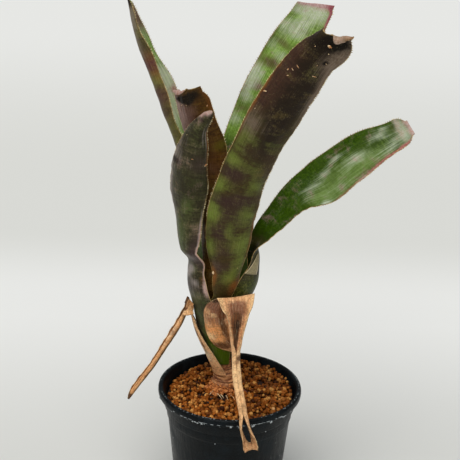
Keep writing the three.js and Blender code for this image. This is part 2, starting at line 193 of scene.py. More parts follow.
class Paint:
    # a material in the making, whose methods add nodes and give back their outputs

    def __init__(self, name):
        self.material = bpy.data.materials.new(name)
        self.material.use_nodes = True
        self.tree = self.material.node_tree
        self.tree.nodes.clear()
        output = self.tree.nodes.new("ShaderNodeOutputMaterial")
        self.shader = self.tree.nodes.new("ShaderNodeBsdfPrincipled")
        self.tree.links.new(self.shader.outputs["BSDF"], output.inputs["Surface"])
        places = self.tree.nodes.new("ShaderNodeTexCoord")
        self.place, self.uv = places.outputs["Object"], places.outputs["UV"]

    def feed(self, node, values):
        # a link where the value is another node's output, or else a plain number or colour
        for key, value in values.items():
            if isinstance(value, bpy.types.NodeSocket):
                self.tree.links.new(value, node.inputs[key])
            else:
                node.inputs[key].default_value = colour(value) if isinstance(value, str) else value

    def add(self, kind, values, output=0, **settings):
        node = self.tree.nodes.new("ShaderNode" + kind)
        for name, setting in settings.items():
            setattr(node, name, setting)
        self.feed(node, values)
        return node.outputs[output]

    def math(self, operation, first, second=0.0):
        return self.add("Math", {0: first, 1: second}, operation=operation)

    def total(self, start, *shares):
        # a start, and on top of it each field times its share
        for field, share in shares:
            start = self.math("ADD", self.math("MULTIPLY", field, share), start)
        return start

    def swaying(self, *shares):
        # noises that break up an outline, summed about zero
        return self.total(-sum(share for _, share in shares) / 2, *shares)

    def ramp(self, value, low, high, toLow=0.0, toHigh=1.0):
        values = {"Value": value, "From Min": low, "From Max": high, "To Min": toLow, "To Max": toHigh}
        return self.add("MapRange", values, "Result", interpolation_type="SMOOTHSTEP")

    def mix(self, share, first, second, blend="MIX"):
        return self.add("Mix", {0: share, 6: first, 7: second}, 2, data_type="RGBA", blend_type=blend)

    def coat(self, base, text, field, *span):
        return self.mix(self.ramp(field, *span), base, text)

    def stretched(self, vector, scale):
        return self.add("Mapping", {"Vector": vector, "Scale": scale}, "Vector")

    def noise(self, scale, detail=3.0, roughness=0.55, distortion=0.0, stretch=None, vector=None):
        vector = self.place if vector is None else vector
        if stretch:
            vector = self.stretched(vector, stretch)
        values = {"Vector": vector, "Scale": scale, "Detail": detail, "Roughness": roughness,
                  "Distortion": distortion}
        return self.add("TexNoise", values, "Fac")

    def attribute(self, name):
        return self.add("Attribute", {}, "Fac", attribute_name=name)

    def axis(self, vector, name):
        return self.add("SeparateXYZ", {0: vector}, name)

    def finish(self, values, relief=None, height=0.0, strength=1.0):
        self.feed(self.shader, values)
        if relief is not None:
            bump = self.add("Bump", {"Height": relief, "Distance": height, "Strength": strength}, "Normal")
            self.feed(self.shader, {"Normal": bump})
        return self.material


def paintPlain(name, look):
    # a noise is scale, detail, roughness, distortion and stretch; a coat is its colour, its field and
    # the span where it comes up, or no span where the field itself is its share
    paint = Paint(name)
    fields = {key: paint.noise(*settings) for key, settings in look["noises"].items()}
    used = [coat[1] for coat in look["coats"]]
    if "tone" in used:
        fields["tone"] = paint.attribute("tone")
    if "toneSway" in look:
        fields["tone"] = paint.total(fields["tone"], (fields["shade"], look["toneSway"]))
    for axis in "XY":
        if axis in used:
            fields[axis] = paint.axis(paint.place, axis)
    base = look["ground"]
    for text, field, *span in look["coats"]:
        base = paint.coat(base, text, fields[field], *span) if span else paint.mix(fields[field], base, text)
    roughness = look["roughness"]
    if isinstance(roughness, tuple):
        roughness = paint.ramp(fields[roughness[0]], *roughness[1:])
    values = {"Base Color": base, "Roughness": roughness, **look.get("shader", {})}
    if "relief" not in look:
        return paint.finish(values)
    shares, height, strength = look["relief"]
    relief = paint.total(0.0, *[(fields[field], share) for field, share in shares.items()])
    return paint.finish(values, relief, height, strength)


# Pot

potValues = {
    "sides": 160, "lipRadius": 52.5, "height": 95,
    "drainHoles": 6, "drainRadius": 4, "drainCircle": 21, "drillDepth": 8,
    "base": "#0a0e10", "dust": "#161d21", "streak": "#0c0d0e", "roughness": 0.28, "specular": 0.1,
}


def potMaterial():
    v = potValues
    paint = Paint("blackNurseryPlastic")
    streaks = paint.noise(1, 4, stretch=(420, 420, 60))
    peel = paint.noise(900, 3)
    film = paint.ramp(paint.noise(70, 5, 0.65), 0.42, 0.7)
    base = paint.coat(paint.mix(film, v["base"], v["dust"]), v["streak"], streaks, 0.5, 0.75, 0, 0.35)
    rough = paint.total(v["roughness"], (film, 0.2), (peel, 0.1))
    values = {"Base Color": base, "Roughness": rough, "Specular IOR Level": v["specular"]}
    return paint.finish(values, paint.total(peel, (streaks, 1.4)), 0.0003, 0.8)


def makePot():
    v = potValues
    lip, height = v["lipRadius"], v["height"]
    # radius and height, outside from the middle of the floor, then back down inside
    profile = [
        (0, 0), (30, 0), (36.6, 0), (37.8, 0.4), (38.4, 1.2), (41.5, 34), (45.2, 71.4), (45.6, 72.4),
        (46.1, 73.2), (46.35, 78.6), (46.6, 79.7), (47.4, 80.2), (48.0, 80.9), (48.4, 88.1), (48.9, 89.3),
        (51.0, 89.5), (51.9, 89.7), (52.3, 90.2), (lip, 91.2), (lip, height - 1.7), (52.2, height - 0.7),
        (51.5, height - 0.15), (50.8, height), (49.9, height - 0.1), (49.2, height - 0.6),
        (48.9, height - 1.6), (47.6, 88.6), (47.0, 86.5), (43.9, 71), (40.5, 38), (37.6, 4), (36.8, 2.4),
        (35.4, 2), (0, 2),
    ]
    bm = bmesh.new()
    addTurned(bm, profile, v["sides"])
    bmesh.ops.recalc_face_normals(bm, faces=bm.faces)
    pot = addPiece("pot_body", bm, [potMaterial()], "pot", ["pot"])
    drill = bmesh.new()
    for k in range(v["drainHoles"]):
        spot = outwardAt(k / v["drainHoles"] * fullTurn) * (v["drainCircle"] * mm)
        bmesh.ops.create_cone(drill, cap_ends=True, segments=32, radius1=v["drainRadius"] * mm,
                              radius2=v["drainRadius"] * mm, depth=v["drillDepth"] * mm,
                              matrix=Matrix.Translation(spot))
    drillObject = addObject("drainDrill", toMesh("drainDrill", drill))
    cut = pot.modifiers.new("drains", "BOOLEAN")
    cut.object = drillObject
    cut.solver = "EXACT"
    applyModifiers(pot)
    bpy.data.objects.remove(drillObject)


def applyModifiers(piece):
    # the piece keeps its finished mesh, and its modifiers go
    graph = bpy.context.evaluated_depsgraph_get()
    done = bpy.data.meshes.new_from_object(piece.evaluated_get(graph))
    piece.modifiers.clear()
    old = piece.data
    piece.data = done
    bpy.data.meshes.remove(old)
    done.name = piece.name


dropletValues = {
    "seed": 4, "count": 300, "smallest": 0.35, "largest": 1.1, "flatness": 0.42,
    # how far out and how high the drops lie: under the lip, on top of it, and on the wall
    "underLip": (51.9, 89.75), "onLip": (50.8, 94.95), "onLipLargest": 0.35,
    "wallFrom": 40, "wallTo": 88, "wallShare": 0.6, "wallHeights": [3, 34, 71, 79, 88, 89.4],
    "wallRadii": [38.5, 41.5, 45.2, 46.4, 48.3, 48.7],
    # flat runs of water at the front of the lip, its top and its under edge in turn, which carry painted
    # glints: how far out, how high, from and to which angle, and how far they face up
    "films": 64, "filmRows": [(51.6, 94.4, 205, 262, 1.1), (52.25, 91.4, 215, 315, 0.5)],
    "filmLength": (1.6, 6.5), "filmWidth": (0.7, 1.2),
    # the pale colour and the half-metal finish paint bright reflections onto the water
    "look": {
        "noises": {"shade": (400, 2)}, "ground": "#c3cdd2", "coats": [("#5b6468", "shade")], "roughness": 0.06,
        "shader": {"IOR": 1.9, "Metallic": 0.5, "Coat Weight": 1.0, "Coat IOR": 1.9, "Coat Roughness": 0.03},
    },
}


def makeDroplets():
    v = dropletValues
    draw = random.Random(v["seed"])
    wall = through(v["wallHeights"], v["wallRadii"])
    bm = bmesh.new()
    for k in range(v["count"]):
        outward = outwardAt(draw.uniform(0, fullTurn))
        size = draw.uniform(v["smallest"], v["largest"]) ** 1.3
        if k % 3 == 0:
            away, z = v["underLip"]
            spot = outward * (away + draw.uniform(-0.2, 0.35)) + Vector((0, 0, z + draw.uniform(0, 0.5)))
            facing = (outward - Vector((0, 0, 0.5))).normalized()
        elif k % 3 == 1:
            z = draw.uniform(v["wallFrom"], v["wallTo"])
            spot = outward * wall(z) + Vector((0, 0, z))
            facing = outward
            size *= v["wallShare"]
        else:
            away, z = v["onLip"]
            spot = outward * away + Vector((0, 0, z))
            facing = Vector((0, 0, 1))
            size = min(size, v["onLipLargest"])
        turned = facing.to_track_quat("Z", "Y").to_matrix().to_4x4()
        shape = Matrix.Diagonal((1, draw.uniform(0.9, 1.5), v["flatness"], 1))
        addBead(bm, size * mm, Matrix.Translation(spot * mm) @ turned @ shape)
    for k in range(v["films"]):
        away, z, start, end, tilt = v["filmRows"][k % 2]
        angle = math.radians(draw.uniform(start, end))
        outward = outwardAt(angle)
        sideways = Vector((-math.sin(angle), math.cos(angle), 0))
        facing = (outward + Vector((0, 0, tilt))).normalized()
        turned = Matrix((sideways, facing.cross(sideways), facing)).transposed().to_4x4()
        shape = Matrix.Diagonal((draw.uniform(*v["filmLength"]), draw.uniform(*v["filmWidth"]), 0.5, 1))
        spot = outward * away + Vector((0, 0, z))
        addBead(bm, 0.5 * mm, Matrix.Translation(spot * mm) @ turned @ shape)
    addPiece("pot_droplets", bm, [paintPlain("waterOnPlasticPaintedGlints", v["look"])], "pot")


# Grit

gritValues = {
    "seed": 21, "top": 89, "slopeX": 0.055, "slopeY": 0.07, "crownX": -4, "crownY": 12, "insideRadius": 46.2,
    "bedDepth": 2.6, "sinkDepth": 6, "sinkFrom": 10.5, "sinkTo": 8, "footRadius": 36.5, "footHeight": 2.6,
    "crownReach": 11, "shapes": 9, "sizes": [(0.85, 1.25), (0.75, 1.05), (0.7, 1)],
    # how many, the smallest and largest size, the lowest and highest place, and how much darker, which paints
    # shade between the granules on the lower layer
    "layers": [(1000, 1.5, 2.4, -3.0, -1.8, 0.55), (1180, 1.9, 3.3, -1.2, 0.9, 0)],
    # the hollows, each with a place and a reach
    "hollows": [(-4.5, -5.5, 5.5), (-29.4, 3.9, 2.2), (-21.8, -1.7, 2.6), (-12.8, -7.2, 2.6),
                (-15.5, -12.3, 2), (-18.2, 0.8, 2.2), (14, 2, 3), (22, 14, 3)],
    "look": {
        "noises": {"pits": (1400, 4, 0.7), "damp": (90, 3)}, "ground": "#341402",
        "coats": [
            ("#b0621b", "tone", 0, 0.55), ("#f8b460", "tone", 0.55, 1),
            ("#4a240d", "pits", 0.35, 0.6, 0.75, 0), ("#e3b98a", "pits", 0.62, 0.8, 0, 0.55),
            # the last two coats are painted shade: the grit darkens towards the back and towards the right
            ("#3b1c0a", "damp", 0.5, 0.68, 0, 0.55), ("#2a1204", "Y", 0.0, 0.04, 0, 0.2),
            ("#2a1204", "X", 0.0, 0.04, 0, 0.2),
        ],
        "roughness": ("damp", 0.4, 0.65, 0.6, 0.3), "shader": {"Specular IOR Level": 0.12},
        "relief": ({"pits": 1}, 0.0004, 0.8),
    },
    # the bed under the granules is painted near black, as the shade in the gaps between them
    "bedLook": {
        "noises": {"shade": (600, 4)}, "ground": "#0c0502", "coats": [("#3a1e0d", "shade")],
        "roughness": 0.95, "relief": ({"shade": 1}, 0.0006, 1),
    },
}


def fromCrown(x, y):
    return math.hypot(x - gritValues["crownX"], y - gritValues["crownY"])


def gritHeight(x, y):
    v = gritValues
    rough = 0.9 * noise.noise(Vector((x / 9, y / 9, 3.1))) + 0.5 * noise.noise(Vector((x / 4, y / 4, 8.4)))
    dish = 1.4 * math.exp(-((fromCrown(x, y) - 14) / 5) ** 2)
    return v["top"] + v["slopeX"] * (x - v["crownX"]) + v["slopeY"] * (y - v["crownY"]) + rough - dish


def makeGritBed():
    v = gritValues
    bm = bmesh.new()
    bmesh.ops.create_grid(bm, x_segments=120, y_segments=120, size=1)
    for vert in bm.verts:
        # the square grid is drawn onto a round disc
        x, y = vert.co.x, vert.co.y
        far = max(abs(x), abs(y))
        length = math.hypot(x, y) or 1
        x, y = x / length * far * v["insideRadius"], y / length * far * v["insideRadius"]
        sink = v["sinkDepth"] * smoothstep(v["sinkFrom"], v["sinkTo"], fromCrown(x, y))
        vert.co = Vector((x, y, gritHeight(x, y) - v["bedDepth"] - sink)) * mm
    # the underside is drawn in to the narrow foot of the pot
    rim = bmesh.ops.extrude_edge_only(bm, edges=[edge for edge in bm.edges if edge.is_boundary])
    shrink = v["footRadius"] / v["insideRadius"]
    for vert in rim["geom"]:
        if isinstance(vert, bmesh.types.BMVert):
            vert.co = Vector((vert.co.x * shrink, vert.co.y * shrink, v["footHeight"] * mm))
    bmesh.ops.holes_fill(bm, edges=[edge for edge in bm.edges if edge.is_boundary], sides=0)
    bmesh.ops.recalc_face_normals(bm, faces=bm.faces)
    addPiece("grit_bed", bm, [paintPlain("gritBedPaintedShade", v["bedLook"])], "grit", ["grit"])


def granuleShapes(draw, howMany):
    shapes = []
    for k in range(howMany):
        bm = bmesh.new()
        bmesh.ops.create_cube(bm, size=1)
        bmesh.ops.bevel(bm, geom=bm.edges, offset=0.24, segments=1, affect="EDGES", profile=0.5, material=-1)
        for vert in bm.verts:
            vert.co += anyWay(draw) * 0.11
        shapes.append(toMesh(f"granuleShape{k}", bm))
    return shapes


def makeGranules():
    v = gritValues
    draw = random.Random(v["seed"])
    shapes = granuleShapes(draw, v["shapes"])
    bm = bmesh.new()
    tones = []
    golden = math.pi * (3 - math.sqrt(5))
    for count, smallest, largest, low, high, shadeInGaps in v["layers"]:
        for i in range(count):
            radius = (v["insideRadius"] - 0.9) * math.sqrt((i + 0.5) / count)
            angle = i * golden
            x = radius * math.cos(angle) + draw.uniform(-0.7, 0.7)
            y = radius * math.sin(angle) + draw.uniform(-0.7, 0.7)
            size = smallest + (largest - smallest) * draw.random() ** 1.4
            room = v["insideRadius"] - size * 0.6
            if math.hypot(x, y) > room:
                x, y = x * room / math.hypot(x, y), y * room / math.hypot(x, y)
            inHollow = any(math.hypot(x - atX, y - atY) < reach for atX, atY, reach in v["hollows"])
            if fromCrown(x, y) < v["crownReach"] or (inHollow and shadeInGaps == 0):
                continue
            z = gritHeight(x, y) - 0.7 + draw.uniform(low, high)
            axis = anyWay(draw).normalized()
            turned = Matrix.Rotation(draw.uniform(0, fullTurn), 4, axis)
            sizes = [draw.uniform(*span) for span in v["sizes"]]
            shape = shapes[len(tones) % len(shapes)].copy()
            place = Matrix.Translation(Vector((x, y, z)) * mm)
            shape.transform(place @ turned @ Matrix.Diagonal((*sizes, 1)) @ Matrix.Scale(size * mm, 4))
            bm.from_mesh(shape)
            bpy.data.meshes.remove(shape)
            tones.append(min(1, max(0, draw.gauss(0.5, 0.27) - shadeInGaps)))
    corners = len(shapes[0].vertices)
    granules = addPiece("grit_granules", bm, [paintPlain("bakedClayGranules", v["look"])], "grit")
    setTones(granules, [value for value in tones for _ in range(corners)])


# Crown, stem and roots

stemValues = {
    "sides": 72, "crownY": 12,
    # radius, and height over the grit, from the foot in the grit to the head inside the tube
    "profile": [
        (0, -13.8), (4.8, -13.7), (7.8, -5), (10.2, 0.2), (10.4, 1.5), (10.1, 3.4), (9.2, 4.6), (8.9, 5.2),
        (9.1, 5.8), (8.5, 6.6), (8.3, 7.1), (8.7, 7.8), (8.6, 8.4), (8.3, 9.0), (8.2, 9.5), (8.4, 10.1),
        (8.2, 10.7), (7.2, 11.4), (6.9, 20), (6.8, 33), (6.0, 42), (4.3, 47.5), (0, 50.5),
    ],
    "look": {
        "noises": {"rings": (1, 4, 0.6, 0.0, (90, 90, 1300)), "patches": (240, 4, 0.6, 0.6)},
        "ground": "#e0a068",
        "coats": [("#8f5430", "patches", 0.35, 0.65), ("#4e2613", "rings", 0.5, 0.6, 0, 0.9)],
        "roughness": ("patches", 0.3, 0.7, 0.55, 0.8), "relief": ({"rings": 1, "patches": 1}, 0.0006, 0.8),
    },
}
rootValues = {
    "seed": 9, "lumps": 64, "strands": 12,
    # the lumps are heaped up at the front left of the crown and thin out round the rest of it
    "lumpFacing": 236, "lumpSpread": 40, "lumpFrom": 8.4, "lumpTo": 14,
    "strandFacing": 235, "strandSpread": 55, "strandSteps": 6,
    "look": {
        "noises": {"wool": (700, 5, 0.7)}, "ground": "#7a3a12",
        "coats": [("#e08e48", "wool", 0.38, 0.58), ("#ffd7a2", "wool", 0.6, 0.72, 0, 0.8)],
        "roughness": 0.75, "relief": ({"wool": 1}, 0.0004, 1),
    },
}

bodyAxisX = through([70, 98, 116, 136, 150, 400], [-4, -4, -6, -8, -8, -8])
bodyRadius = through(
    [95, 103, 108, 116, 125, 136, 146, 160, 172, 182, 200],
    [9.1, 9.5, 11, 13.4, 16.4, 19.6, 22, 24.7, 27.2, 27.9, 27.6],
)


def makeStem():
    v = stemValues
    bm = bmesh.new()
    addTurned(bm, [(radius, gritValues["top"] + z) for radius, z in v["profile"]], v["sides"])
    bmesh.ops.subdivide_edges(bm, edges=bm.edges, cuts=1, use_grid_fill=True)
    bmesh.ops.recalc_face_normals(bm, faces=bm.faces)
    bm.normal_update()
    for vert in bm.verts:
        x, y, z = vert.co / mm
        lump = 0.5 * noise.noise(Vector((x / 3, y / 3, z / 2))) - 0.2
        vert.co += vert.normal * lump * mm
        vert.co += Vector((bodyAxisX(z), v["crownY"], 0)) * mm
    addPiece("stem_crown", bm, [paintPlain("driedCrown", v["look"])], "stem", ["stem"])


def addLump(bm, draw, spot, size, squash=0.7):
    turned = Matrix.Rotation(draw.uniform(0, fullTurn), 4, "Z")
    shape = Matrix.Diagonal((1, draw.uniform(0.6, 1), squash, 1))
    made = addBead(bm, size * mm, Matrix.Translation(spot * mm) @ turned @ shape)
    for vert in made:
        away = vert.co - spot * mm
        vert.co += away * 0.45 * noise.noise(vert.co / mm / 1.3)
    return len(made)


def makeRoots():
    v = rootValues
    draw = random.Random(v["seed"])
    crown = Vector((gritValues["crownX"], gritValues["crownY"], 0))
    bm = bmesh.new()
    for _ in range(v["lumps"]):
        angle = math.radians(draw.gauss(v["lumpFacing"], v["lumpSpread"]))
        away = draw.uniform(v["lumpFrom"], v["lumpTo"])
        x = crown.x + away * math.cos(angle)
        y = crown.y + away * math.sin(angle)
        z = gritHeight(x, y) + 0.2 + max(0, 13.4 - away) * draw.uniform(0.2, 0.9)
        addLump(bm, draw, Vector((x, y, z)), draw.uniform(0.9, 2.5))
    for _ in range(v["strands"]):
        angle = math.radians(draw.gauss(v["strandFacing"], v["strandSpread"]))
        bend = draw.uniform(-0.5, 0.5)
        reach = draw.uniform(11, 17)
        lift = draw.uniform(1, 4)
        radius = draw.uniform(0.3, 0.75)
        shares = [step / v["strandSteps"] for step in range(v["strandSteps"] + 1)]
        route = []
        for share in shares:
            away = v["lumpFrom"] + (reach - v["lumpFrom"]) * share
            x = crown.x + away * math.cos(angle + bend * share)
            y = crown.y + away * math.sin(angle + bend * share)
            z = (gritValues["top"] + lift) * (1 - share) + (gritHeight(x, y) - 1) * share
            route.append(Vector((x, y, z + 1.2 * math.sin(share * math.pi))) * mm)
        addTube(bm, route, [radius * (1 - 0.5 * share) * mm for share in shares], 8)
    bmesh.ops.recalc_face_normals(bm, faces=bm.faces)
    addPiece("stem_roots", bm, [paintPlain("orangeRootSkin", v["look"])], "stem")


litterValues = {
    "seed": 33,
    # pale root tips, from one place to another
    "tips": [
        ((-9.2, -2.1, 88.0), (-5.4, -9.4, 87.6)), ((-2.6, -4.9, 88.2), (-1, -11.2, 87.8)),
        ((1.1, -5, 88.4), (4.1, -11, 88.1)), ((-6.4, -4, 88.2), (-4.2, -8, 87.6)),
        ((-12, 0.5, 88.6), (-14.5, -4, 88.0)),
    ],
    "tipRadius": 0.42, "tipRise": 0.7, "fibres": 16, "fibreRadius": 0.2,
    # chips, each with a place, a size and how pale it is
    "chips": [(-29.4, 3.9, 1.3, 0), (-21.8, -1.7, 1.4, 0), (-12.8, -7.2, 1.3, 0), (-15.5, -12.3, 1.1, 0),
              (-18.2, 0.8, 1.3, 0), (31.5, -21.4, 2.1, 1), (10.6, 3.4, 1.8, 0.55), (12, 0.6, 1.5, 0.55)],
    "tipLook": {
        "noises": {"shade": (800, 3)}, "ground": "#ffe6b8", "coats": [("#b8763e", "shade", 0.38, 0.62)],
        "roughness": 0.5, "relief": ({"shade": 1}, 0.0002, 1),
    },
    "chipLook": {
        "noises": {"shade": (900, 4, 0.6)}, "toneSway": 0.1, "ground": "#150a05",
        "coats": [("#6b2f1c", "tone", 0.1, 0.55), ("#d3a066", "tone", 0.65, 1)],
        "roughness": 0.6, "relief": ({"shade": 1}, 0.0004, 1),
    },
}


def makeLitter():
    v = litterValues
    draw = random.Random(v["seed"])
    bm = bmesh.new()
    for start, end in v["tips"]:
        first, last = Vector(start), Vector(end)
        rises = [Vector((0, 0, v["tipRise"] * math.sin(i / 5 * math.pi))) for i in range(6)]
        route = [(first.lerp(last, i / 5) + rise) * mm for i, rise in enumerate(rises)]
        addTube(bm, route, [v["tipRadius"] * (1 - 0.12 * i) * mm for i in range(6)], 8)
    for _ in range(v["fibres"]):
        foot = Vector((draw.uniform(3, 5.5), draw.uniform(5, 9), 92.5))
        head = foot + Vector((draw.uniform(0, 4), draw.uniform(-3, 0), draw.uniform(4, 9)))
        bend = Vector((draw.uniform(-1, 1), draw.uniform(-1, 0), 0))
        route = [(foot.lerp(head, i / 4) + bend * math.sin(i / 4 * math.pi)) * mm for i in range(5)]
        addTube(bm, route, [(v["fibreRadius"] - 0.03 * i) * mm for i in range(5)], 5)
    bmesh.ops.recalc_face_normals(bm, faces=bm.faces)
    addPiece("litter_roots", bm, [paintPlain("paleRootTips", v["tipLook"])], "stem")
    bm = bmesh.new()
    tones = []
    for x, y, size, tone in v["chips"]:
        tones += [tone] * addLump(bm, draw, Vector((x, y, gritHeight(x, y) - 0.4)), size, 0.6)
    setTones(addPiece("litter_chips", bm, [paintPlain("chipsInTheGrit", v["chipLook"])], "grit"), tones)


# Leaves. A base row is height, facing, reach to the left and to the right round the plant in
# degrees, and swell. A blade row is x, y, z, half width, curl left, curl right, side and roll.
# A leaf's s runs across it from -1 to 1, and its t along it from 0 at the foot to 1 at the tip.

leafValues = {
    "pitch": 1.45, "cadThick": 0.9, "thick": 0.78, "edgeShare": 0.5, "waveLength": 36,
    "columns": 44, "rowLength": 0.75, "lipRows": 14, "softness": 1.5, "room": 0.5,
    "toothStep": 1.5, "toothLength": 1.3, "toothRadius": 0.36, "toothSeat": 0.12,
    # how far the skin is moved in and out: large dents, small dents and the ripple at the margin
    "dent": 0.4, "smallDent": 0.22, "ripple": 0.22, "rippleLength": 1.35,
    # where the cut of a tip and the end of a crease fade out
    "cutFrom": 0.84, "creaseFade": 0.04,
}


def layerRadius(leaf, z):
    # where the middle of a leaf's skin lies round the stem
    return bodyRadius(z) - leaf["layer"] * leafValues["pitch"] - leafValues["cadThick"] / 2


def bladeShape(leaf):
    # the middle surface of a leaf
    stations = []
    for z, facing, left, right, swell in [(*row, 0)[:5] for row in leaf["base"]]:
        radius = layerRadius(leaf, z)
        away = radius + swell
        stations.append({
            "x": bodyAxisX(z) + away * math.cos(math.radians(facing)),
            "y": stemValues["crownY"] + away * math.sin(math.radians(facing)),
            "z": z, "left": radius * math.radians(left), "right": radius * math.radians(right),
            "curlLeft": left, "curlRight": right, "side": facing + 90, "roll": 0, "swell": swell, "base": 1,
        })
    names = ("x", "y", "z", "left", "curlLeft", "curlRight", "side", "roll")
    for row in leaf["blade"]:
        station = dict(zip(names, (*row, 0)))
        stations.append({**station, "right": station["left"], "swell": 0, "base": 0})
    knots = [0]
    for before, here in zip(stations, stations[1:]):
        knots.append(knots[-1] + math.dist(*[[row[axis] for axis in "xyz"] for row in (before, here)]))
    length = knots[-1]
    curves = {name: through(knots, [row[name] for row in stations]) for name in stations[0]}

    def middle(d):
        return Vector((curves["x"](d), curves["y"](d), curves["z"](d)))

    def rowAt(d):
        row = {name: curve(d) for name, curve in curves.items()}
        row["base"] = min(1, max(0, row["base"]))
        row["middle"] = middle(d)
        along = (middle(min(d + 0.4, length)) - middle(max(d - 0.4, 0))).normalized()
        side = outwardAt(math.radians(row["side"]))
        side = (side - along * side.dot(along)).normalized()
        inward = along.cross(side)
        roll = math.radians(row["roll"])
        row["across"] = side * math.cos(roll) + inward * math.sin(roll)
        row["inward"] = inward * math.cos(roll) - side * math.sin(roll)
        return row

    def closed(curl, t):
        # a rolled blade can be closed further along a stretch
        start, end, more = leaf.get("closing", (0, 0, 0))
        if not start < t < end:
            return curl
        share = smoothstep(start, start + 0.04, t) * smoothstep(end, end - 0.05, t)
        return max(curl, min(178, curl + more * share))

    rows = {}

    def point(d, s):
        key = round(d, 3)
        if key not in rows:
            rows[key] = rowAt(d)
        row = rows[key]
        curl = max(0.5, row["curlLeft"] if s < 0 else row["curlRight"])
        curl = math.radians(closed(curl, d / length))
        azimuth = math.radians(row["side"] - 90) + s * curl
        away = layerRadius(leaf, row["z"]) + row["swell"] * (1 - s * s) ** 3
        clasping = Vector((
            bodyAxisX(row["z"]) + away * math.cos(azimuth),
            stemValues["crownY"] + away * math.sin(azimuth),
            row["z"],
        ))
        if row["base"] == 1:
            return clasping
        tipLength, tipWidth = leaf["tipLeft"] if s < 0 else leaf["tipRight"]
        fromTip = max(0, 1 - (length - d) / tipLength)
        narrowing = max(tipWidth, math.sqrt(1 - fromTip ** 2))
        half = (row["left"] if s < 0 else row["right"]) * narrowing
        wave = math.sin(d / leafValues["waveLength"] * fullTurn + s) * abs(s) ** 3
        out = half * math.sin(curl * abs(s)) / curl
        inn = half * (1 - math.cos(curl * abs(s))) / curl + leaf.get("wave", 0.9) * narrowing * wave
        opened = row["middle"] + row["across"] * math.copysign(out, s) + row["inward"] * inn
        return opened.lerp(clasping, row["base"])

    return point, length


def frameAt(point, d, s):
    # a place on a blade, and the directions along it, across it and out of it
    spot = point(d, s)
    along = (spot - point(d - 0.6, s)).normalized()
    across = (point(d, min(1, s + 0.05)) - point(d, max(-1, s - 0.05))).normalized()
    return spot, along, across, across.cross(along)


def patchSum(patches, s, t):
    # soft patches, each with a place and a reach across and along the blade, and an amount
    total = 0
    for atS, atT, reachS, reachT, amount in patches:
        wide, long = reachS * leafValues["softness"], reachT * leafValues["softness"]
        total += amount * math.exp(-((s - atS) / wide) ** 2 - ((t - atT) / long) ** 2)
    return total


def creaseSum(creases, s, t):
    # long creases, each with a place and a reach across the blade, its two ends, and a depth
    fade = leafValues["creaseFade"]
    return sum(depth * math.exp(-((s - atS) / reachS) ** 2)
               * smoothstep(fromT, fromT + fade, t) * smoothstep(toT, toT - fade, t)
               for atS, reachS, fromT, toT, depth in creases)


def acrossCurve(pairs):
    return through(*zip(*pairs)) if pairs else (lambda s: 0)


def openSlit(bm, slit):
    # a long slit up the middle of the flat grid, closed at both its ends
    low, high, widest = slit
    spots = [edge for edge in bm.edges
             if all(abs(vert.co.x) < 1e-4 and low <= (vert.co.y + 1) / 2 <= high for vert in edge.verts)]
    bmesh.ops.split_edges(bm, edges=spots)
    for vert in bm.verts:
        t = (vert.co.y + 1) / 2
        if low <= t <= high:
            lean = sum(face.calc_center_median().x for face in vert.link_faces)
            half = widest * math.sin((t - low) / (high - low) * math.pi) ** 0.6
            vert.co.z = math.copysign(half + abs(vert.co.x) * (1 - half), lean)
        else:
            vert.co.z = vert.co.x
    for vert in bm.verts:
        vert.co.x = vert.co.z


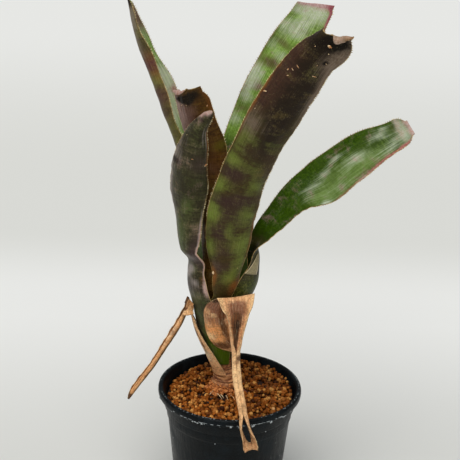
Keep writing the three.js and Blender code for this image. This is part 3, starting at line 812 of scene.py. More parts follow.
def makeLeaf(name, node, leaf, materials):
    v = leafValues
    point, length = bladeShape(leaf)
    rows = round(length / v["rowLength"])
    cutAt = acrossCurve(leaf.get("tipCut"))
    lipTurn, lipRadius = leaf.get("lip", (None, None))
    lipRows = v["lipRows"] if lipTurn else 0
    turnAt, radiusAt = acrossCurve(lipTurn), acrossCurve(lipRadius)
    seed = leaf["layer"] * 7.3
    bm = bmesh.new()
    masks = [(bm.verts.layers.float.new(face + kind), patches)
             for face in ("outer", "inner") for kind, patches in leaf[face + "Masks"].items()]
    bmesh.ops.create_grid(bm, x_segments=v["columns"], y_segments=rows + lipRows, size=1)
    if "slit" in leaf:
        openSlit(bm, leaf["slit"])
    unwrap(bm)
    grid = []
    for vert in bm.verts:
        row = (vert.co.y + 1) / 2 * (rows + lipRows)
        grid.append((vert, vert.co.x, min(1, row / rows), max(0, row - rows) / max(1, lipRows)))
    for vert, s, t, roll in grid:
        for layer, patches in masks:
            vert[layer] = patchSum(patches, s, t)
        turned = math.radians(max(8, turnAt(s))) if lipRows else 0
        radius = max(0.25, radiusAt(s)) if lipRows else 0
        trimmed = cutAt(s) + leaf.get("ragged", 0) * noise.noise(Vector((s * 5, seed, 1)))
        trimmed += radius * min(1, turned / 1.57)
        d = min(length, max(0, t * length - trimmed * smoothstep(v["cutFrom"], 1, t)))
        vert.co = point(d, s)
        if roll:
            # the rows past the end turn over into the lip
            along = (vert.co - point(d - 0.5, s)).normalized()
            across = (point(d, min(1, s + 0.05)) - point(d, max(-1, s - 0.05))).normalized()
            arc = turned * roll
            vert.co += along * radius * math.sin(arc) + across.cross(along) * radius * (1 - math.cos(arc))
        vert.co *= mm
    bm.normal_update()
    for vert, s, t, roll in grid:
        free = smoothstep(leaf["freeFrom"] - 0.05, leaf["freeFrom"] + 0.1, t)
        moved = v["dent"] * noise.noise(Vector((s * 1.6, t * length / 16, seed)))
        moved += v["smallDent"] * noise.noise(Vector((s * 5, t * length / 6, seed + 4)))
        swing = t * length / v["rippleLength"] + 4 * noise.noise(Vector((s, t * 9, seed)))
        moved += v["ripple"] * math.sin(swing) * abs(s) ** 14
        moved = free * moved + creaseSum(leaf.get("creases", []), s, t)
        moved += patchSum(leaf.get("bulges", []), s, t)
        vert.co += vert.normal * moved * mm
        for axis in range(3):
            # the skin stays inside the solids' box
            low, high = cadLow[axis] + v["room"] * mm, cadHigh[axis] - v["room"] * mm
            vert.co[axis] = min(max(vert.co[axis], low), high)
    piece = addPiece(name, bm, materials, leaf["slot"], [node])
    thin = piece.vertex_groups.new(name="thickness")
    for index, (_, s, t, roll) in enumerate(grid):
        thin.add([index], v["edgeShare"] + (1 - v["edgeShare"]) * (1 - s ** 6), "REPLACE")
    shell = thicken(piece, v["thick"])
    shell.offset = 0
    shell.vertex_group = "thickness"
    shell.use_rim = True
    shell.material_offset = 1
    shell.material_offset_rim = 2


def makeSpines(name, leaf, material):
    v = leafValues
    point, length = bladeShape(leaf)
    cutAt = acrossCurve(leaf.get("tipCut"))
    draw = random.Random(leaf["layer"])
    bm = bmesh.new()
    for edge in (-1, 1):
        d = leaf["spinesFrom"] * length
        end = length - cutAt(edge) - 2
        while d < end:
            foot = point(d, edge)
            outward = (foot - point(d, edge * 0.93)).normalized()
            along = (point(min(d + 0.5, length), edge) - point(d - 0.5, edge)).normalized()
            lean = (outward + along * draw.uniform(0.35, 0.8)).normalized()
            size = v["toothLength"] * draw.uniform(0.6, 1.1)
            turned = lean.to_track_quat("Z", "Y").to_matrix().to_4x4()
            middle = foot + lean * (size / 2 - v["toothSeat"])
            bmesh.ops.create_cone(bm, cap_ends=True, segments=5, radius1=v["toothRadius"] * mm,
                                  radius2=0.02 * mm, depth=size * mm,
                                  matrix=Matrix.Translation(middle * mm) @ turned)
            d += v["toothStep"] * draw.uniform(0.7, 1.3)
    addPiece(name, bm, [material], leaf["slot"])


# the noises, those with a stretch on the UV map, and the spans where each coat comes up
leafSkinValues = {
    "noises": {
        "cloud": (105, 4, 0.62, 0.3), "grain": (640, 4, 0.72), "lines": (1, 4, 0.6, 0.0, (57.8, 7.2, 1)),
        "bars": (1, 5, 0.7, 0.0, (2.04, 120, 1)),
    },
    "specks": (28.9, 192, 1), "cloudShare": 0.8, "Ground": (0.8, 1), "tone": (0.4, 0.62),
    "mask": (0.02, 1.2), "grain": (0.3, 0.72, 0.45, 1.6), "grainShare": 0.85, "vein": (0.34, 0.6),
    "scurf": (0.54, 0.74), "speck": (0.16, 0.34, 1, 0), "speckCloud": (0.4, 0.6), "marginGrain": 0.02,
    "rough": (0.3, 0.7), "relief": (0.0003, 0.8), "sheen": 0.45,
}


def bladeFields(paint, noises):
    return {key: paint.noise(*settings, vector=paint.uv if len(settings) == 5 else None)
            for key, settings in noises.items()}


def leafSkin(name, face, looks, masks):
    # one face of a living leaf: its ground, its blotches, its scurf and its coloured margin
    v = leafSkinValues
    paint = Paint(name)
    cloud, grain, lines, bars = bladeFields(paint, v["noises"]).values()
    stretched = paint.stretched(paint.uv, v["specks"])
    specks = paint.add("TexVoronoi", {"Vector": stretched, "Scale": 1}, "Distance")
    grit = looks["grit"]
    blotchy = paint.swaying((cloud, 1.6), (bars, 0.75), (grain, grit))
    streaky = paint.swaying((lines, 1.3), (cloud, 1.1), (grain, grit * 0.8))
    base = paint.mix(paint.ramp(paint.total(bars, (cloud, v["cloudShare"])), *v["Ground"]), *looks["Ground"])
    for kind in masks:
        field = paint.math("ADD", paint.attribute(face + kind), streaky if kind == "SilverAndSheen" else blotchy)
        toned = paint.mix(paint.ramp(grain, *v["tone"]), *looks[kind])
        base = paint.coat(base, toned, field, *v["mask"])
    base = paint.mix(grit * v["grainShare"], base, paint.ramp(grain, *v["grain"]), "MULTIPLY")
    base = paint.coat(base, looks["vein"], lines, *v["vein"], looks["veins"], 0)
    base = paint.coat(base, looks["scurf"], bars, *v["scurf"], 0, looks["bars"])
    scurfy = paint.math("MULTIPLY", paint.ramp(specks, *v["speck"]), paint.ramp(cloud, *v["speckCloud"]))
    base = paint.mix(paint.math("MULTIPLY", scurfy, looks["specks"]), base, looks["scurf"])
    fromMiddle = paint.math("ABSOLUTE", paint.math("SUBTRACT", paint.axis(paint.uv, "X"), 0.5))
    margin = paint.total(fromMiddle, (grain, v["marginGrain"]))
    base = paint.coat(base, looks["margin"], margin, *looks["edge"])
    rough = looks["roughness"]
    values = {
        "Base Color": base, "Roughness": paint.ramp(grain, *v["rough"], rough - 0.08, rough + 0.12),
        "Specular IOR Level": looks["shine"], "Sheen Weight": looks["dust"], "Sheen Roughness": v["sheen"],
        "Sheen Tint": looks["dustTint"],
    }
    relief = paint.swaying((lines, looks["veins"] * 2), (grain, 0.4 + grit), (bars, 0.35))
    return paint.finish(values, relief, *v["relief"])


# each look names two shades of a coat, and how it lies on the blade is in the leaf's masks; the silver coat is
# the leaf's silver scurf together with painted sheen and reflection
# Dark is painted shade, mostly in the hollows under the curled tips and lips and under the folds
outerLooks = {
    "Ground": ("#46391a", "#4f4a1e"), "Green": ("#86963e", "#63722c"), "Purple": ("#48302a", "#36241f"),
    "WarmAndLit": ("#9a5e26", "#70431b"), "Dark": ("#1e120a", "#120b06"), "SilverAndSheen": ("#8f7f6e", "#6f6152"),
    "Brown": ("#2d2115", "#20160d"), "Rust": ("#54382a", "#33211a"), "Pink": ("#b893a0", "#8f6f78"),
    "vein": "#2a200c", "scurf": "#8d8358", "margin": "#d3b06a", "bars": 0.06, "veins": 0.28, "grit": 0.75,
    "specks": 0.26, "roughness": 0.42, "shine": 0.12, "dust": 0.05, "dustTint": "#dccfd4",
    "edge": (0.496, 0.512),
}
innerLooks = {
    "Ground": ("#39500a", "#4b640f"), "Green": ("#7f9a52", "#69833c"), "Brown": ("#5f4526", "#4a321a"),
    "Deep": ("#2b4402", "#385404"), "Pink": ("#c4a399", "#a4796c"), "SilverAndSheen": ("#c2cab8", "#98a58a"),
    "vein": "#2b3d0a", "scurf": "#b5bfa0", "margin": "#9a7650", "bars": 0.05, "veins": 0.35, "grit": 0.32,
    "specks": 0.12, "roughness": 0.42, "shine": 0.15, "dust": 0.02, "dustTint": "#dfe5da",
    "edge": (0.496, 0.512),
}
plainMasks = {
    "outer": {"Brown": [], "Rust": [], "Purple": [], "Green": [], "WarmAndLit": [], "SilverAndSheen": [], "Dark": []},
    "inner": {"Green": [], "Deep": [], "Brown": [], "SilverAndSheen": [], "Pink": []},
}

leafFrontValues = {
    "slot": "leaf", "layer": 3, "tipLeft": (34, 0.25), "tipRight": (14, 0.7), "freeFrom": 0.3,
    "spinesFrom": 0.42,
    "base": [
        (114, -88, 72, 72), (136, -88, 75, 75), (150, -88, 64, 60), (161, -88, 34, 34), (170, -88, 17, 17),
    ],
    "blade": [
        (-4.5, -12, 185.9, 10.3, 37.1, 40.6, 6.1), (-4.1, -13.5, 207.9, 16.1, 39.8, 38.1, 4.7),
        (-2.1, -17, 231.1, 17.8, 37.6, 38.8, 4.8), (4.5, -24, 261.2, 16.8, 37.9, 36.9, -0.5),
        (11.1, -29, 280.8, 16.5, 38.8, 38, -4.3), (22.4, -37.5, 307, 17.5, 40.1, 38.5, -6.9),
        (33.1, -45, 329.4, 16.8, 46.1, 36, -10.3), (44.1, -51, 349.7, 15.4, 63.3, 30.9, -11.1),
        (53, -54, 362.7, 16.7, 93.1, 22.5, -18.7), (57.4, -57, 371.2, 16.6, 83.7, 14.3, -17.7),
    ],
    "tipCut": [(-1, 9), (-0.3, 9), (0.1, 6.5), (1, 0)], "ragged": 0.5,
    "outerMasks": {
        "Brown": [(-0.3, 0.9, 1.2, 0.1, 1.3), (0.2, 0.76, 0.4, 0.1, 0.9), (0.3, 0.66, 0.3, 0.05, 0.5)],
        "Rust": [
            (-0.65, 0.84, 0.4, 0.06, 1.1), (-0.8, 0.755, 0.3, 0.03, 0.9), (-0.85, 0.93, 0.2, 0.04, 0.6),
        ],
        "Purple": [
            (-0.45, 0.552, 0.5, 0.018, 1.1), (0.2, 0.485, 0.45, 0.016, 1.2),
            (-0.35, 0.44, 0.25, 0.018, 0.9), (0.3, 0.435, 0.25, 0.018, 0.9),
            (-0.35, 0.385, 0.5, 0.018, 1.1), (-0.1, 0.335, 0.7, 0.012, 0.8), (0.1, 0.295, 0.5, 0.012, 0.7),
            (-0.65, 0.29, 0.3, 0.018, 0.7), (-0.7, 0.475, 0.3, 0.01, 0.8), (0.8, 0.62, 0.3, 0.03, 0.6),
            (-0.2, 0.625, 0.4, 0.02, 0.6), (0.8, 0.57, 0.3, 0.015, 0.5),
        ],
        "Green": [
            (-0.85, 0.437, 0.24, 0.018, 1.3), (-0.82, 0.51, 0.26, 0.014, 0.95),
            (-0.7, 0.585, 0.3, 0.014, 0.7), (-0.85, 0.35, 0.2, 0.025, 0.85), (0.6, 0.36, 0.35, 0.028, 0.85),
            (0.6, 0.445, 0.3, 0.02, 0.75), (-0.05, 0.4, 0.15, 0.02, 0.5), (0.25, 0.265, 0.4, 0.014, 0.75),
            (0.65, 0.3, 0.3, 0.02, 0.6), (0.55, 0.53, 0.35, 0.018, 0.7), (0.45, 0.885, 0.3, 0.018, 0.2),
            (-0.6, 0.655, 0.35, 0.02, 0.6), (0.6, 0.66, 0.3, 0.02, 0.3), (-0.8, 0.61, 0.2, 0.02, 0.4),
            (0.2, 0.58, 0.3, 0.015, 0.35),
        ],
        "WarmAndLit": [
            (-0.88, 0.265, 0.16, 0.025, 0.9), (0.75, 0.24, 0.3, 0.02, 0.9), (-0.98, 0.7, 0.07, 0.05, 0.8),
            (-0.97, 0.8, 0.07, 0.06, 0.6), (0.96, 0.38, 0.06, 0.06, 0.8),
        ],
        "SilverAndSheen": [
            (-0.65, 0.69, 0.35, 0.022, 0.75), (0.96, 0.83, 0.12, 0.08, 1.0), (0.8, 0.955, 0.3, 0.045, 1.5),
            (0.9, 0.5, 0.1, 0.05, 0.3), (-0.65, 0.3, 0.2, 0.012, 0.4),
        ],
        "Dark": [
            (-0.15, 0.965, 0.6, 0.02, 0.9), (0.1, 0.985, 0.22, 0.01, 1.2), (0.5, 0.924, 0.06, 0.006, 1.6),
            (0.1, 0.215, 0.8, 0.018, 0.6), (-1, 0.62, 0.1, 0.05, 0.5), (0.45, 0.985, 0.4, 0.008, 1.2),
        ],
    },
    "innerMasks": {
        **plainMasks["inner"], "Pink": [(0.3, 1, 0.35, 0.02, 1.1)], "Brown": [(0.8, 1, 0.3, 0.02, 0.9)],
        "Deep": [(0, 0.4, 2, 0.3, 0.8)],
    },
    "scars": [
        (-0.83, 0.775, 2.6, 0.9, 60), (-0.55, 0.852, 1.6, 0.8, 20), (-0.4, 0.86, 2.0, 0.5, 110),
        (-0.42, 0.84, 1.8, 0.5, 45), (0.45, 0.872, 3.2, 0.5, 80), (-0.25, 0.955, 0.9, 0.6, 10),
        (-0.8, 0.725, 0.8, 0.5, 0), (-0.95, 0.272, 2.4, 1.5, 10), (0.2, 0.972, 3.0, 1.4, 85, 1.6),
        (0.6, 0.29, 0.7, 0.5, 0), (0.35, 0.95, 0.7, 0.6, 30), (0.78, 0.996, 2.6, 1.6, 80, 2.4),
        (-0.3, 0.875, 0.5, 2.4, 20), (0.55, 0.92, 0.6, 0.9, 0), (0.3, 0.905, 0.6, 0.4, 60),
    ],
    "lip": (
        [(-1, 8), (-0.02, 8), (0.12, 150), (1, 165)],
        [(-1, 0.3), (-0.02, 0.3), (0.15, 1.5), (0.7, 1.7), (1, 1.5)],
    ),
    "outer": {"SilverAndSheen": ("#94816f", "#6d5b4c"), "Dark": ("#180e07", "#0d0804")},
    "inner": {"Pink": ("#d2b3a0", "#a98570"), "Brown": ("#a86f45", "#7a4c30")},
}
leafFrontLeftValues = {
    "slot": "leaf", "layer": 2, "tipLeft": (26, 0.12), "tipRight": (16, 0.12), "freeFrom": 0.42,
    "spinesFrom": 0.5,
    "base": [
        (109, -140, 80, 80), (126, -140, 85, 80), (142, -140, 85, 66), (154, -140, 78, 46),
        (167, -140, 60, 31, 1.4), (179, -140, 44, 24, 2.4), (189, -140, 28, 20, 2.4),
    ],
    "blade": [
        (-34.4, -7, 201.8, 11.1, 47, 41.7, -50.3), (-35.6, -9, 217.5, 13, 45.9, 48.5, -45.4),
        (-35.4, -11, 234.8, 15, 40.3, 59.1, -38.3), (-34.4, -14, 255.7, 16.3, 38.1, 77.4, -31.2),
        (-30.6, -17, 277, 12.6, 33.6, 79.5, -24.5), (-26.6, -20, 294.6, 7.5, 45.2, 76.1, -26.3),
        (-16.9, -23, 307.3, 5.1, 50.1, 72.7, -26.4),
    ],
    "outerMasks": {
        "Purple": [
            (0.75, 0.5, 0.3, 0.05, 0.9), (-0.2, 0.62, 0.3, 0.03, 0.6), (0.5, 0.8, 0.4, 0.03, 0.8),
            (0.3, 0.44, 0.5, 0.025, 0.8), (-0.6, 0.83, 0.25, 0.04, 0.5), (0, 0.32, 0.7, 0.035, 0.9),
        ],
        "Green": [
            (-0.3, 0.53, 0.4, 0.06, 1.0), (0.2, 0.645, 0.25, 0.025, 0.9), (0.1, 0.4, 0.2, 0.012, 0.7),
            (0.2, 0.29, 0.5, 0.03, 0.6), (0.1, 0.9, 0.3, 0.03, 0.4), (0.4, 0.73, 0.3, 0.02, 0.5),
            (0, 0.22, 0.6, 0.03, 0.7),
        ],
        "Moss": [(0.8, 0.05, 0.8, 0.07, 1.4)],
        "WarmAndLit": [(0.95, 0.9, 0.05, 0.05, 0.9), (0.98, 0.8, 0.05, 0.06, 0.6), (0.7, 0.36, 0.15, 0.02, 0.6)],
        "SilverAndSheen": [
            (-0.95, 0.7, 0.12, 0.12, 0.9), (-0.85, 0.5, 0.22, 0.1, 0.6), (0.97, 0.52, 0.06, 0.08, 1.0),
            (-0.1, 0.4, 0.2, 0.012, 1.2), (-0.35, 0.375, 0.15, 0.01, 1.1), (0.2, 0.35, 0.2, 0.01, 0.8),
            (0.3, 0.45, 0.4, 0.012, 0.6), (0.62, 0.91, 0.04, 0.03, 0.9), (0.85, 0.9, 0.04, 0.04, 0.9),
            (-0.3, 0.31, 0.5, 0.04, 0.25), (-0.6, 0.8, 0.15, 0.03, 0.4),
        ],
        "Dark": [
            (0.3, 0.71, 0.5, 0.035, 0.6), (-0.8, 0.785, 0.25, 0.008, 1.2), (-0.85, 0.935, 0.3, 0.006, 0.9),
            (-0.2, 0.955, 0.4, 0.006, 0.9), (0.6, 0.985, 0.4, 0.01, 0.8), (-0.7, 0.88, 0.3, 0.02, 0.5),
        ],
        "Pink": [
            (-0.88, 0.965, 0.25, 0.008, 1.3), (-0.4, 0.986, 0.35, 0.008, 1.4), (0, 0.998, 0.25, 0.005, 1.0),
            (0.88, 0.335, 0.16, 0.018, 1.4), (0.97, 0.4, 0.07, 0.03, 1.0), (0.95, 0.45, 0.07, 0.02, 1.1),
            (0.98, 0.53, 0.05, 0.04, 1.1),
        ],
    },
    "innerMasks": {**plainMasks["inner"], "Pink": [(0, 0.98, 2, 0.05, 1.6)]},
    "scars": [
        (0.15, 0.815, 1.6, 0.5, 80), (0.9, 0.8, 2.6, 1.4, 60), (0.95, 0.76, 0.6, 0.5, 0),
        (-0.6, 0.885, 0.7, 0.4, 0),
    ],
    "creases": [(0.5, 0.03, 0.86, 0.95, -0.35), (0.72, 0.03, 0.86, 0.95, -0.35)],
    "bulges": [
        (-0.7, 0.975, 0.4, 0.008, 0.9), (-0.1, 0.992, 0.5, 0.007, 0.8), (-0.8, 0.765, 0.35, 0.012, 0.9),
    ],
    "outer": {
        "Ground": ("#37331f", "#434426"), "Green": ("#5c6832", "#485329"), "SilverAndSheen": ("#b8aca6", "#857a72"),
        "Purple": ("#4f3c38", "#382a2a"), "Pink": ("#e6c6b8", "#a9827a"), "Moss": ("#587408", "#425a04"),
    },
    "inner": {},
}
leafRightValues = {
    "slot": "leaf", "layer": 4, "tipLeft": (10, 0.6), "tipRight": (9, 0.55), "freeFrom": 0.4,
    "spinesFrom": 0.45,
    "base": [
        (118, 15, 85, 85), (136, 15, 85, 85), (150, 15, 88, 75), (163, 15, 88, 65, 3), (174, 15, 80, 50, 5),
        (184, 15, 64, 36, 5), (193, 15, 32, 24, 5),
    ],
    "blade": [
        (21.4, 20, 205.7, 10.3, 43, 40.3, 108.5, 22), (32.7, 22, 219.8, 11.3, 45.2, 29.5, 105.9, 34),
        (46.3, 24, 234.8, 14.5, 40, 25.1, 105.3, 40), (62.1, 27, 243.9, 17.7, 22.9, 19.8, 107, 42),
        (77.8, 30, 257, 17, 19.6, 20.3, 106.7, 42), (95.3, 32, 269, 15.2, 23.5, 20.8, 105.3, 42),
        (110.9, 34, 277.6, 12, 26, 20.1, 104.3, 42), (121.9, 35, 284.3, 10.8, 24.4, 19.6, 104.3, 40),
    ],
    "outerMasks": {
        **plainMasks["outer"], "SilverAndSheen": [(-0.6, 0.2, 0.3, 0.02, 0.4)],
        "Green": [(-0.6, 0.26, 0.4, 0.02, 0.7), (-0.3, 0.2, 0.6, 0.02, 0.5)],
    },
    "innerMasks": {
        "Green": [
            (-0.6, 0.64, 0.4, 0.035, 1.0), (-0.6, 0.75, 0.35, 0.05, 0.9), (-0.5, 0.87, 0.4, 0.05, 0.7),
            (0.1, 0.7, 0.3, 0.05, 0.5), (0, 0.8, 0.3, 0.04, 0.5),
        ],
        "Deep": [(0.8, 0.81, 0.3, 0.06, 1.4), (0.7, 0.62, 0.4, 0.06, 1.2), (0, 0.48, 1.2, 0.07, 1.2)],
        "Black": [(-0.2, 0.37, 0.7, 0.03, 1.6)],
        "Brown": [
            (0.6, 0.955, 0.25, 0.012, 0.8), (-0.2, 0.94, 0.2, 0.012, 0.5), (0.55, 0.87, 0.12, 0.02, 0.6),
            (-0.85, 0.8, 0.1, 0.04, 0.5), (0, 0.385, 1.5, 0.02, 1), (0.75, 0.775, 0.08, 0.02, 0.6),
        ],
        "SilverAndSheen": [
            (0.1, 0.64, 0.13, 0.02, 0.55), (0.3, 0.69, 0.1, 0.02, 0.65), (0.5, 0.75, 0.08, 0.02, 0.7),
            (-0.1, 0.6, 0.25, 0.02, 0.3), (0, 0.8, 0.2, 0.04, 0.65), (0.42, 0.895, 0.15, 0.02, 0.8),
            (0.75, 0.92, 0.12, 0.015, 0.6), (-0.95, 0.645, 0.1, 0.012, 1.1), (-0.5, 0.9, 0.2, 0.03, 0.5),
            (-0.6, 0.7, 0.2, 0.04, 0.3), (0, 0.975, 0.8, 0.014, 1.1), (-0.3, 0.93, 0.4, 0.015, 0.5),
        ],
        "Pink": [(-0.98, 0.8, 0.05, 0.03, 0.9), (0, 1.0, 1.5, 0.01, 1.3), (0.3, 0.965, 0.6, 0.008, 0.6)],
        "Red": [
            (-0.97, 0.88, 0.07, 0.05, 1.3), (-0.93, 0.95, 0.12, 0.02, 1.1), (-0.98, 0.72, 0.04, 0.04, 0.7),
        ],
    },
    "scars": [(-0.96, 0.925, 3.2, 0.7, 0), (0.75, 0.255, 1.0, 0.9, 0)], "scarFace": -1,
    "outer": {
        "Ground": ("#332f14", "#3d3f18"), "Green": ("#4a5a1a", "#5c6c22"), "SilverAndSheen": ("#d6c19c", "#a08c6c"),
    },
    "inner": {
        "SilverAndSheen": ("#c4ceb4", "#a3b090"), "Pink": ("#dcc0b8", "#b98e84"), "Deep": ("#2f4a00", "#3f5c02"),
        "shine": 0.08, "Brown": ("#4f4a1c", "#3f3a16"), "Black": ("#14170a", "#0a0c04"),
        "Red": ("#c9857e", "#9c5652"),
    },
}
leafBackLeftValues = {
    "slot": "leaf", "layer": 5, "tipLeft": (50, 0.1), "tipRight": (50, 0.1), "freeFrom": 0.4,
    "spinesFrom": 0.5,
    "base": [
        (122, 152, 72, 72), (142, 152, 75, 75), (162, 152, 65, 65), (180, 152, 45, 45), (195, 152, 28, 28),
    ],
    "blade": [
        (-30.7, 24, 216.5, 12.8, 69.4, 70, -111.1), (-35.1, 26, 240.7, 15.3, 84.2, 85, -108.6),
        (-42, 28.5, 267.3, 16.4, 93.5, 95.6, -107.1), (-52.1, 32, 293.7, 16, 95.1, 92.8, -109.9),
        (-61.8, 36, 317.2, 14.2, 87.6, 107.9, -101.7), (-71.3, 40, 339.5, 11.3, 78.9, 100, -101.4),
        (-78, 44, 366.5, 10.9, 80.7, 89, -101.3),
    ],
    "outerMasks": {
        "Purple": [(0, 0.81, 1.2, 0.02, 1.6), (0, 0.73, 0.9, 0.025, 1.0), (0.5, 0.66, 0.4, 0.02, 0.5)],
        "Green": [(0, 0.775, 1.5, 0.016, 0.9), (0, 0.63, 1.5, 0.03, 0.8), (0.7, 0.91, 0.3, 0.012, 0.6)],
        "WarmAndLit": [(0.8, 0.79, 0.3, 0.015, 0.5), (0.7, 0.84, 0.3, 0.015, 0.5)],
        "SilverAndSheen": [(0.1, 0.9, 0.4, 0.06, 0.8), (0.1, 0.69, 0.3, 0.03, 0.6), (0.3, 0.96, 1, 0.03, 0.6)],
        "Dark": [(0.8, 0.87, 0.2, 0.025, 0.5), (-0.8, 0.87, 0.2, 0.025, 0.5), (0.4, 1, 3, 0.012, 1.6)],
    },
    "innerMasks": {
        "Green": [(-0.3, 0.7, 0.6, 0.05, 1.0), (-0.6, 0.88, 0.6, 0.02, 0.8), (0.3, 0.66, 0.6, 0.03, 0.8)],
        "Deep": [(0.9, 0.84, 0.3, 0.03, 0.8)],
        "Brown": [(-0.7, 0.955, 0.8, 0.03, 1.1), (0.2, 0.95, 0.5, 0.03, 0.8)],
        "SilverAndSheen": [
            (-0.6, 0.77, 0.5, 0.03, 1.4), (0, 0.68, 0.5, 0.03, 1.2), (0.2, 0.64, 0.4, 0.02, 1.0),
            (0, 0.9, 0.5, 0.015, 1.0), (-0.9, 0.7, 0.2, 0.05, 0.7), (0.5, 0.72, 0.3, 0.015, 0.5),
        ],
        "Pink": [(-0.95, 0.73, 0.15, 0.012, 1.3)],
    },
    "lip": ([(-1, 150), (1, 150)], [(-1, 0.35), (1, 0.35)]),
    "outer": {
        "SilverAndSheen": ("#a39689", "#83786a"), "Ground": ("#55462a", "#686030"), "Purple": ("#6a403a", "#4e2f2b"),
        "Green": ("#87863f", "#6b6a2c"),
    },
    "inner": {
        "Ground": ("#8fa95e", "#a3bc76"), "Green": ("#9ab95f", "#83a548"), "Brown": ("#8a6f5c", "#75594a"),
        "SilverAndSheen": ("#d2d6bc", "#b7c19b"), "margin": "#dccba4",
    },
}
leafBackRightValues = {
    "slot": "leaf", "layer": 6, "tipLeft": (6, 0.92), "tipRight": (10, 0.85), "freeFrom": 0.4,
    "spinesFrom": 0.45,
    "base": [(126, 52, 72, 72), (146, 52, 72, 72), (164, 52, 60, 60), (180, 52, 42, 42), (194, 52, 28, 28)],
    "blade": [
        (1.7, 28.5, 214.1, 12.3, 44.8, 44.7, 148.4), (2, 28.5, 236.1, 14.9, 37.7, 37.6, 155.5),
        (4.8, 29, 262.2, 16.8, 31.4, 31.2, 163.1), (13.1, 32, 292.1, 16.5, 24.9, 25.1, 167.6),
        (26, 36.5, 321.7, 16.1, 17.8, 20.2, 168.2), (40.4, 41, 345.7, 15.7, 15.6, 20.1, 167.9),
        (49.5, 45, 362, 13, 11.9, 20.5, 168.5), (53.2, 47, 370.1, 13, 12.8, 20.2, 168.5),
    ],
    "tipCut": [(-1, 0), (0, 3.5), (1, 8)],
    "outerMasks": {**plainMasks["outer"], "Purple": [(0, 0.5, 1, 0.1, 0.7), (0, 0.75, 1, 0.06, 0.8)]},
    "innerMasks": {
        "Green": [
            (0.7, 0.6, 0.5, 0.028, 0.8), (0.3, 0.76, 0.4, 0.018, 0.8), (0.5, 0.82, 0.3, 0.018, 1.0),
            (0.35, 0.95, 0.25, 0.025, 1.0), (0.6, 0.7, 0.3, 0.012, 0.8), (0.1, 0.87, 0.3, 0.018, 0.6),
            (-0.5, 0.9, 0.3, 0.025, 0.6),
        ],
        "Deep": [(0.8, 0.55, 0.5, 0.02, 0.8)],
        "Brown": [
            (0.35, 0.85, 0.35, 0.009, 0.8), (0.4, 0.79, 0.35, 0.011, 0.95), (0.55, 0.72, 0.3, 0.009, 0.9),
            (0.5, 0.655, 0.3, 0.007, 0.6), (0.97, 0.87, 0.05, 0.06, 0.7), (-0.25, 0.91, 0.35, 0.007, 0.6),
            (0.8, 0.97, 0.1, 0.01, 0.5),
        ],
        "SilverAndSheen": [
            (0.85, 0.75, 0.3, 0.016, 1.1), (0.7, 0.685, 0.25, 0.011, 0.8), (0.85, 0.62, 0.25, 0.012, 0.8),
            (0.75, 0.905, 0.4, 0.022, 0.75), (0.05, 0.895, 0.3, 0.014, 0.7),
            (0.85, 0.835, 0.2, 0.012, 0.55), (-0.3, 0.97, 0.55, 0.018, 1.1), (0.6, 0.98, 0.4, 0.012, 0.8),
            (0.2, 0.82, 0.2, 0.01, 0.7), (0.88, 0.718, 0.2, 0.012, 1.2), (0.1, 0.93, 0.3, 0.012, 0.8),
        ],
        "Pink": [(-0.5, 1, 0.6, 0.01, 1.2), (0.5, 1, 0.6, 0.006, 0.9)],
        "Red": [(-0.98, 0.965, 0.08, 0.03, 1.4), (-0.9, 0.995, 0.2, 0.01, 1.2)],
    },
    "outer": {},
    "inner": {
        "Ground": ("#6c8536", "#84a048"), "Green": ("#86b03c", "#9cc257"), "Brown": ("#6a5537", "#57432c"),
        "SilverAndSheen": ("#d2d9bd", "#adbb90"), "Red": ("#b0606a", "#8d4450"), "Pink": ("#d8b6b2", "#b58a88"),
    },
}
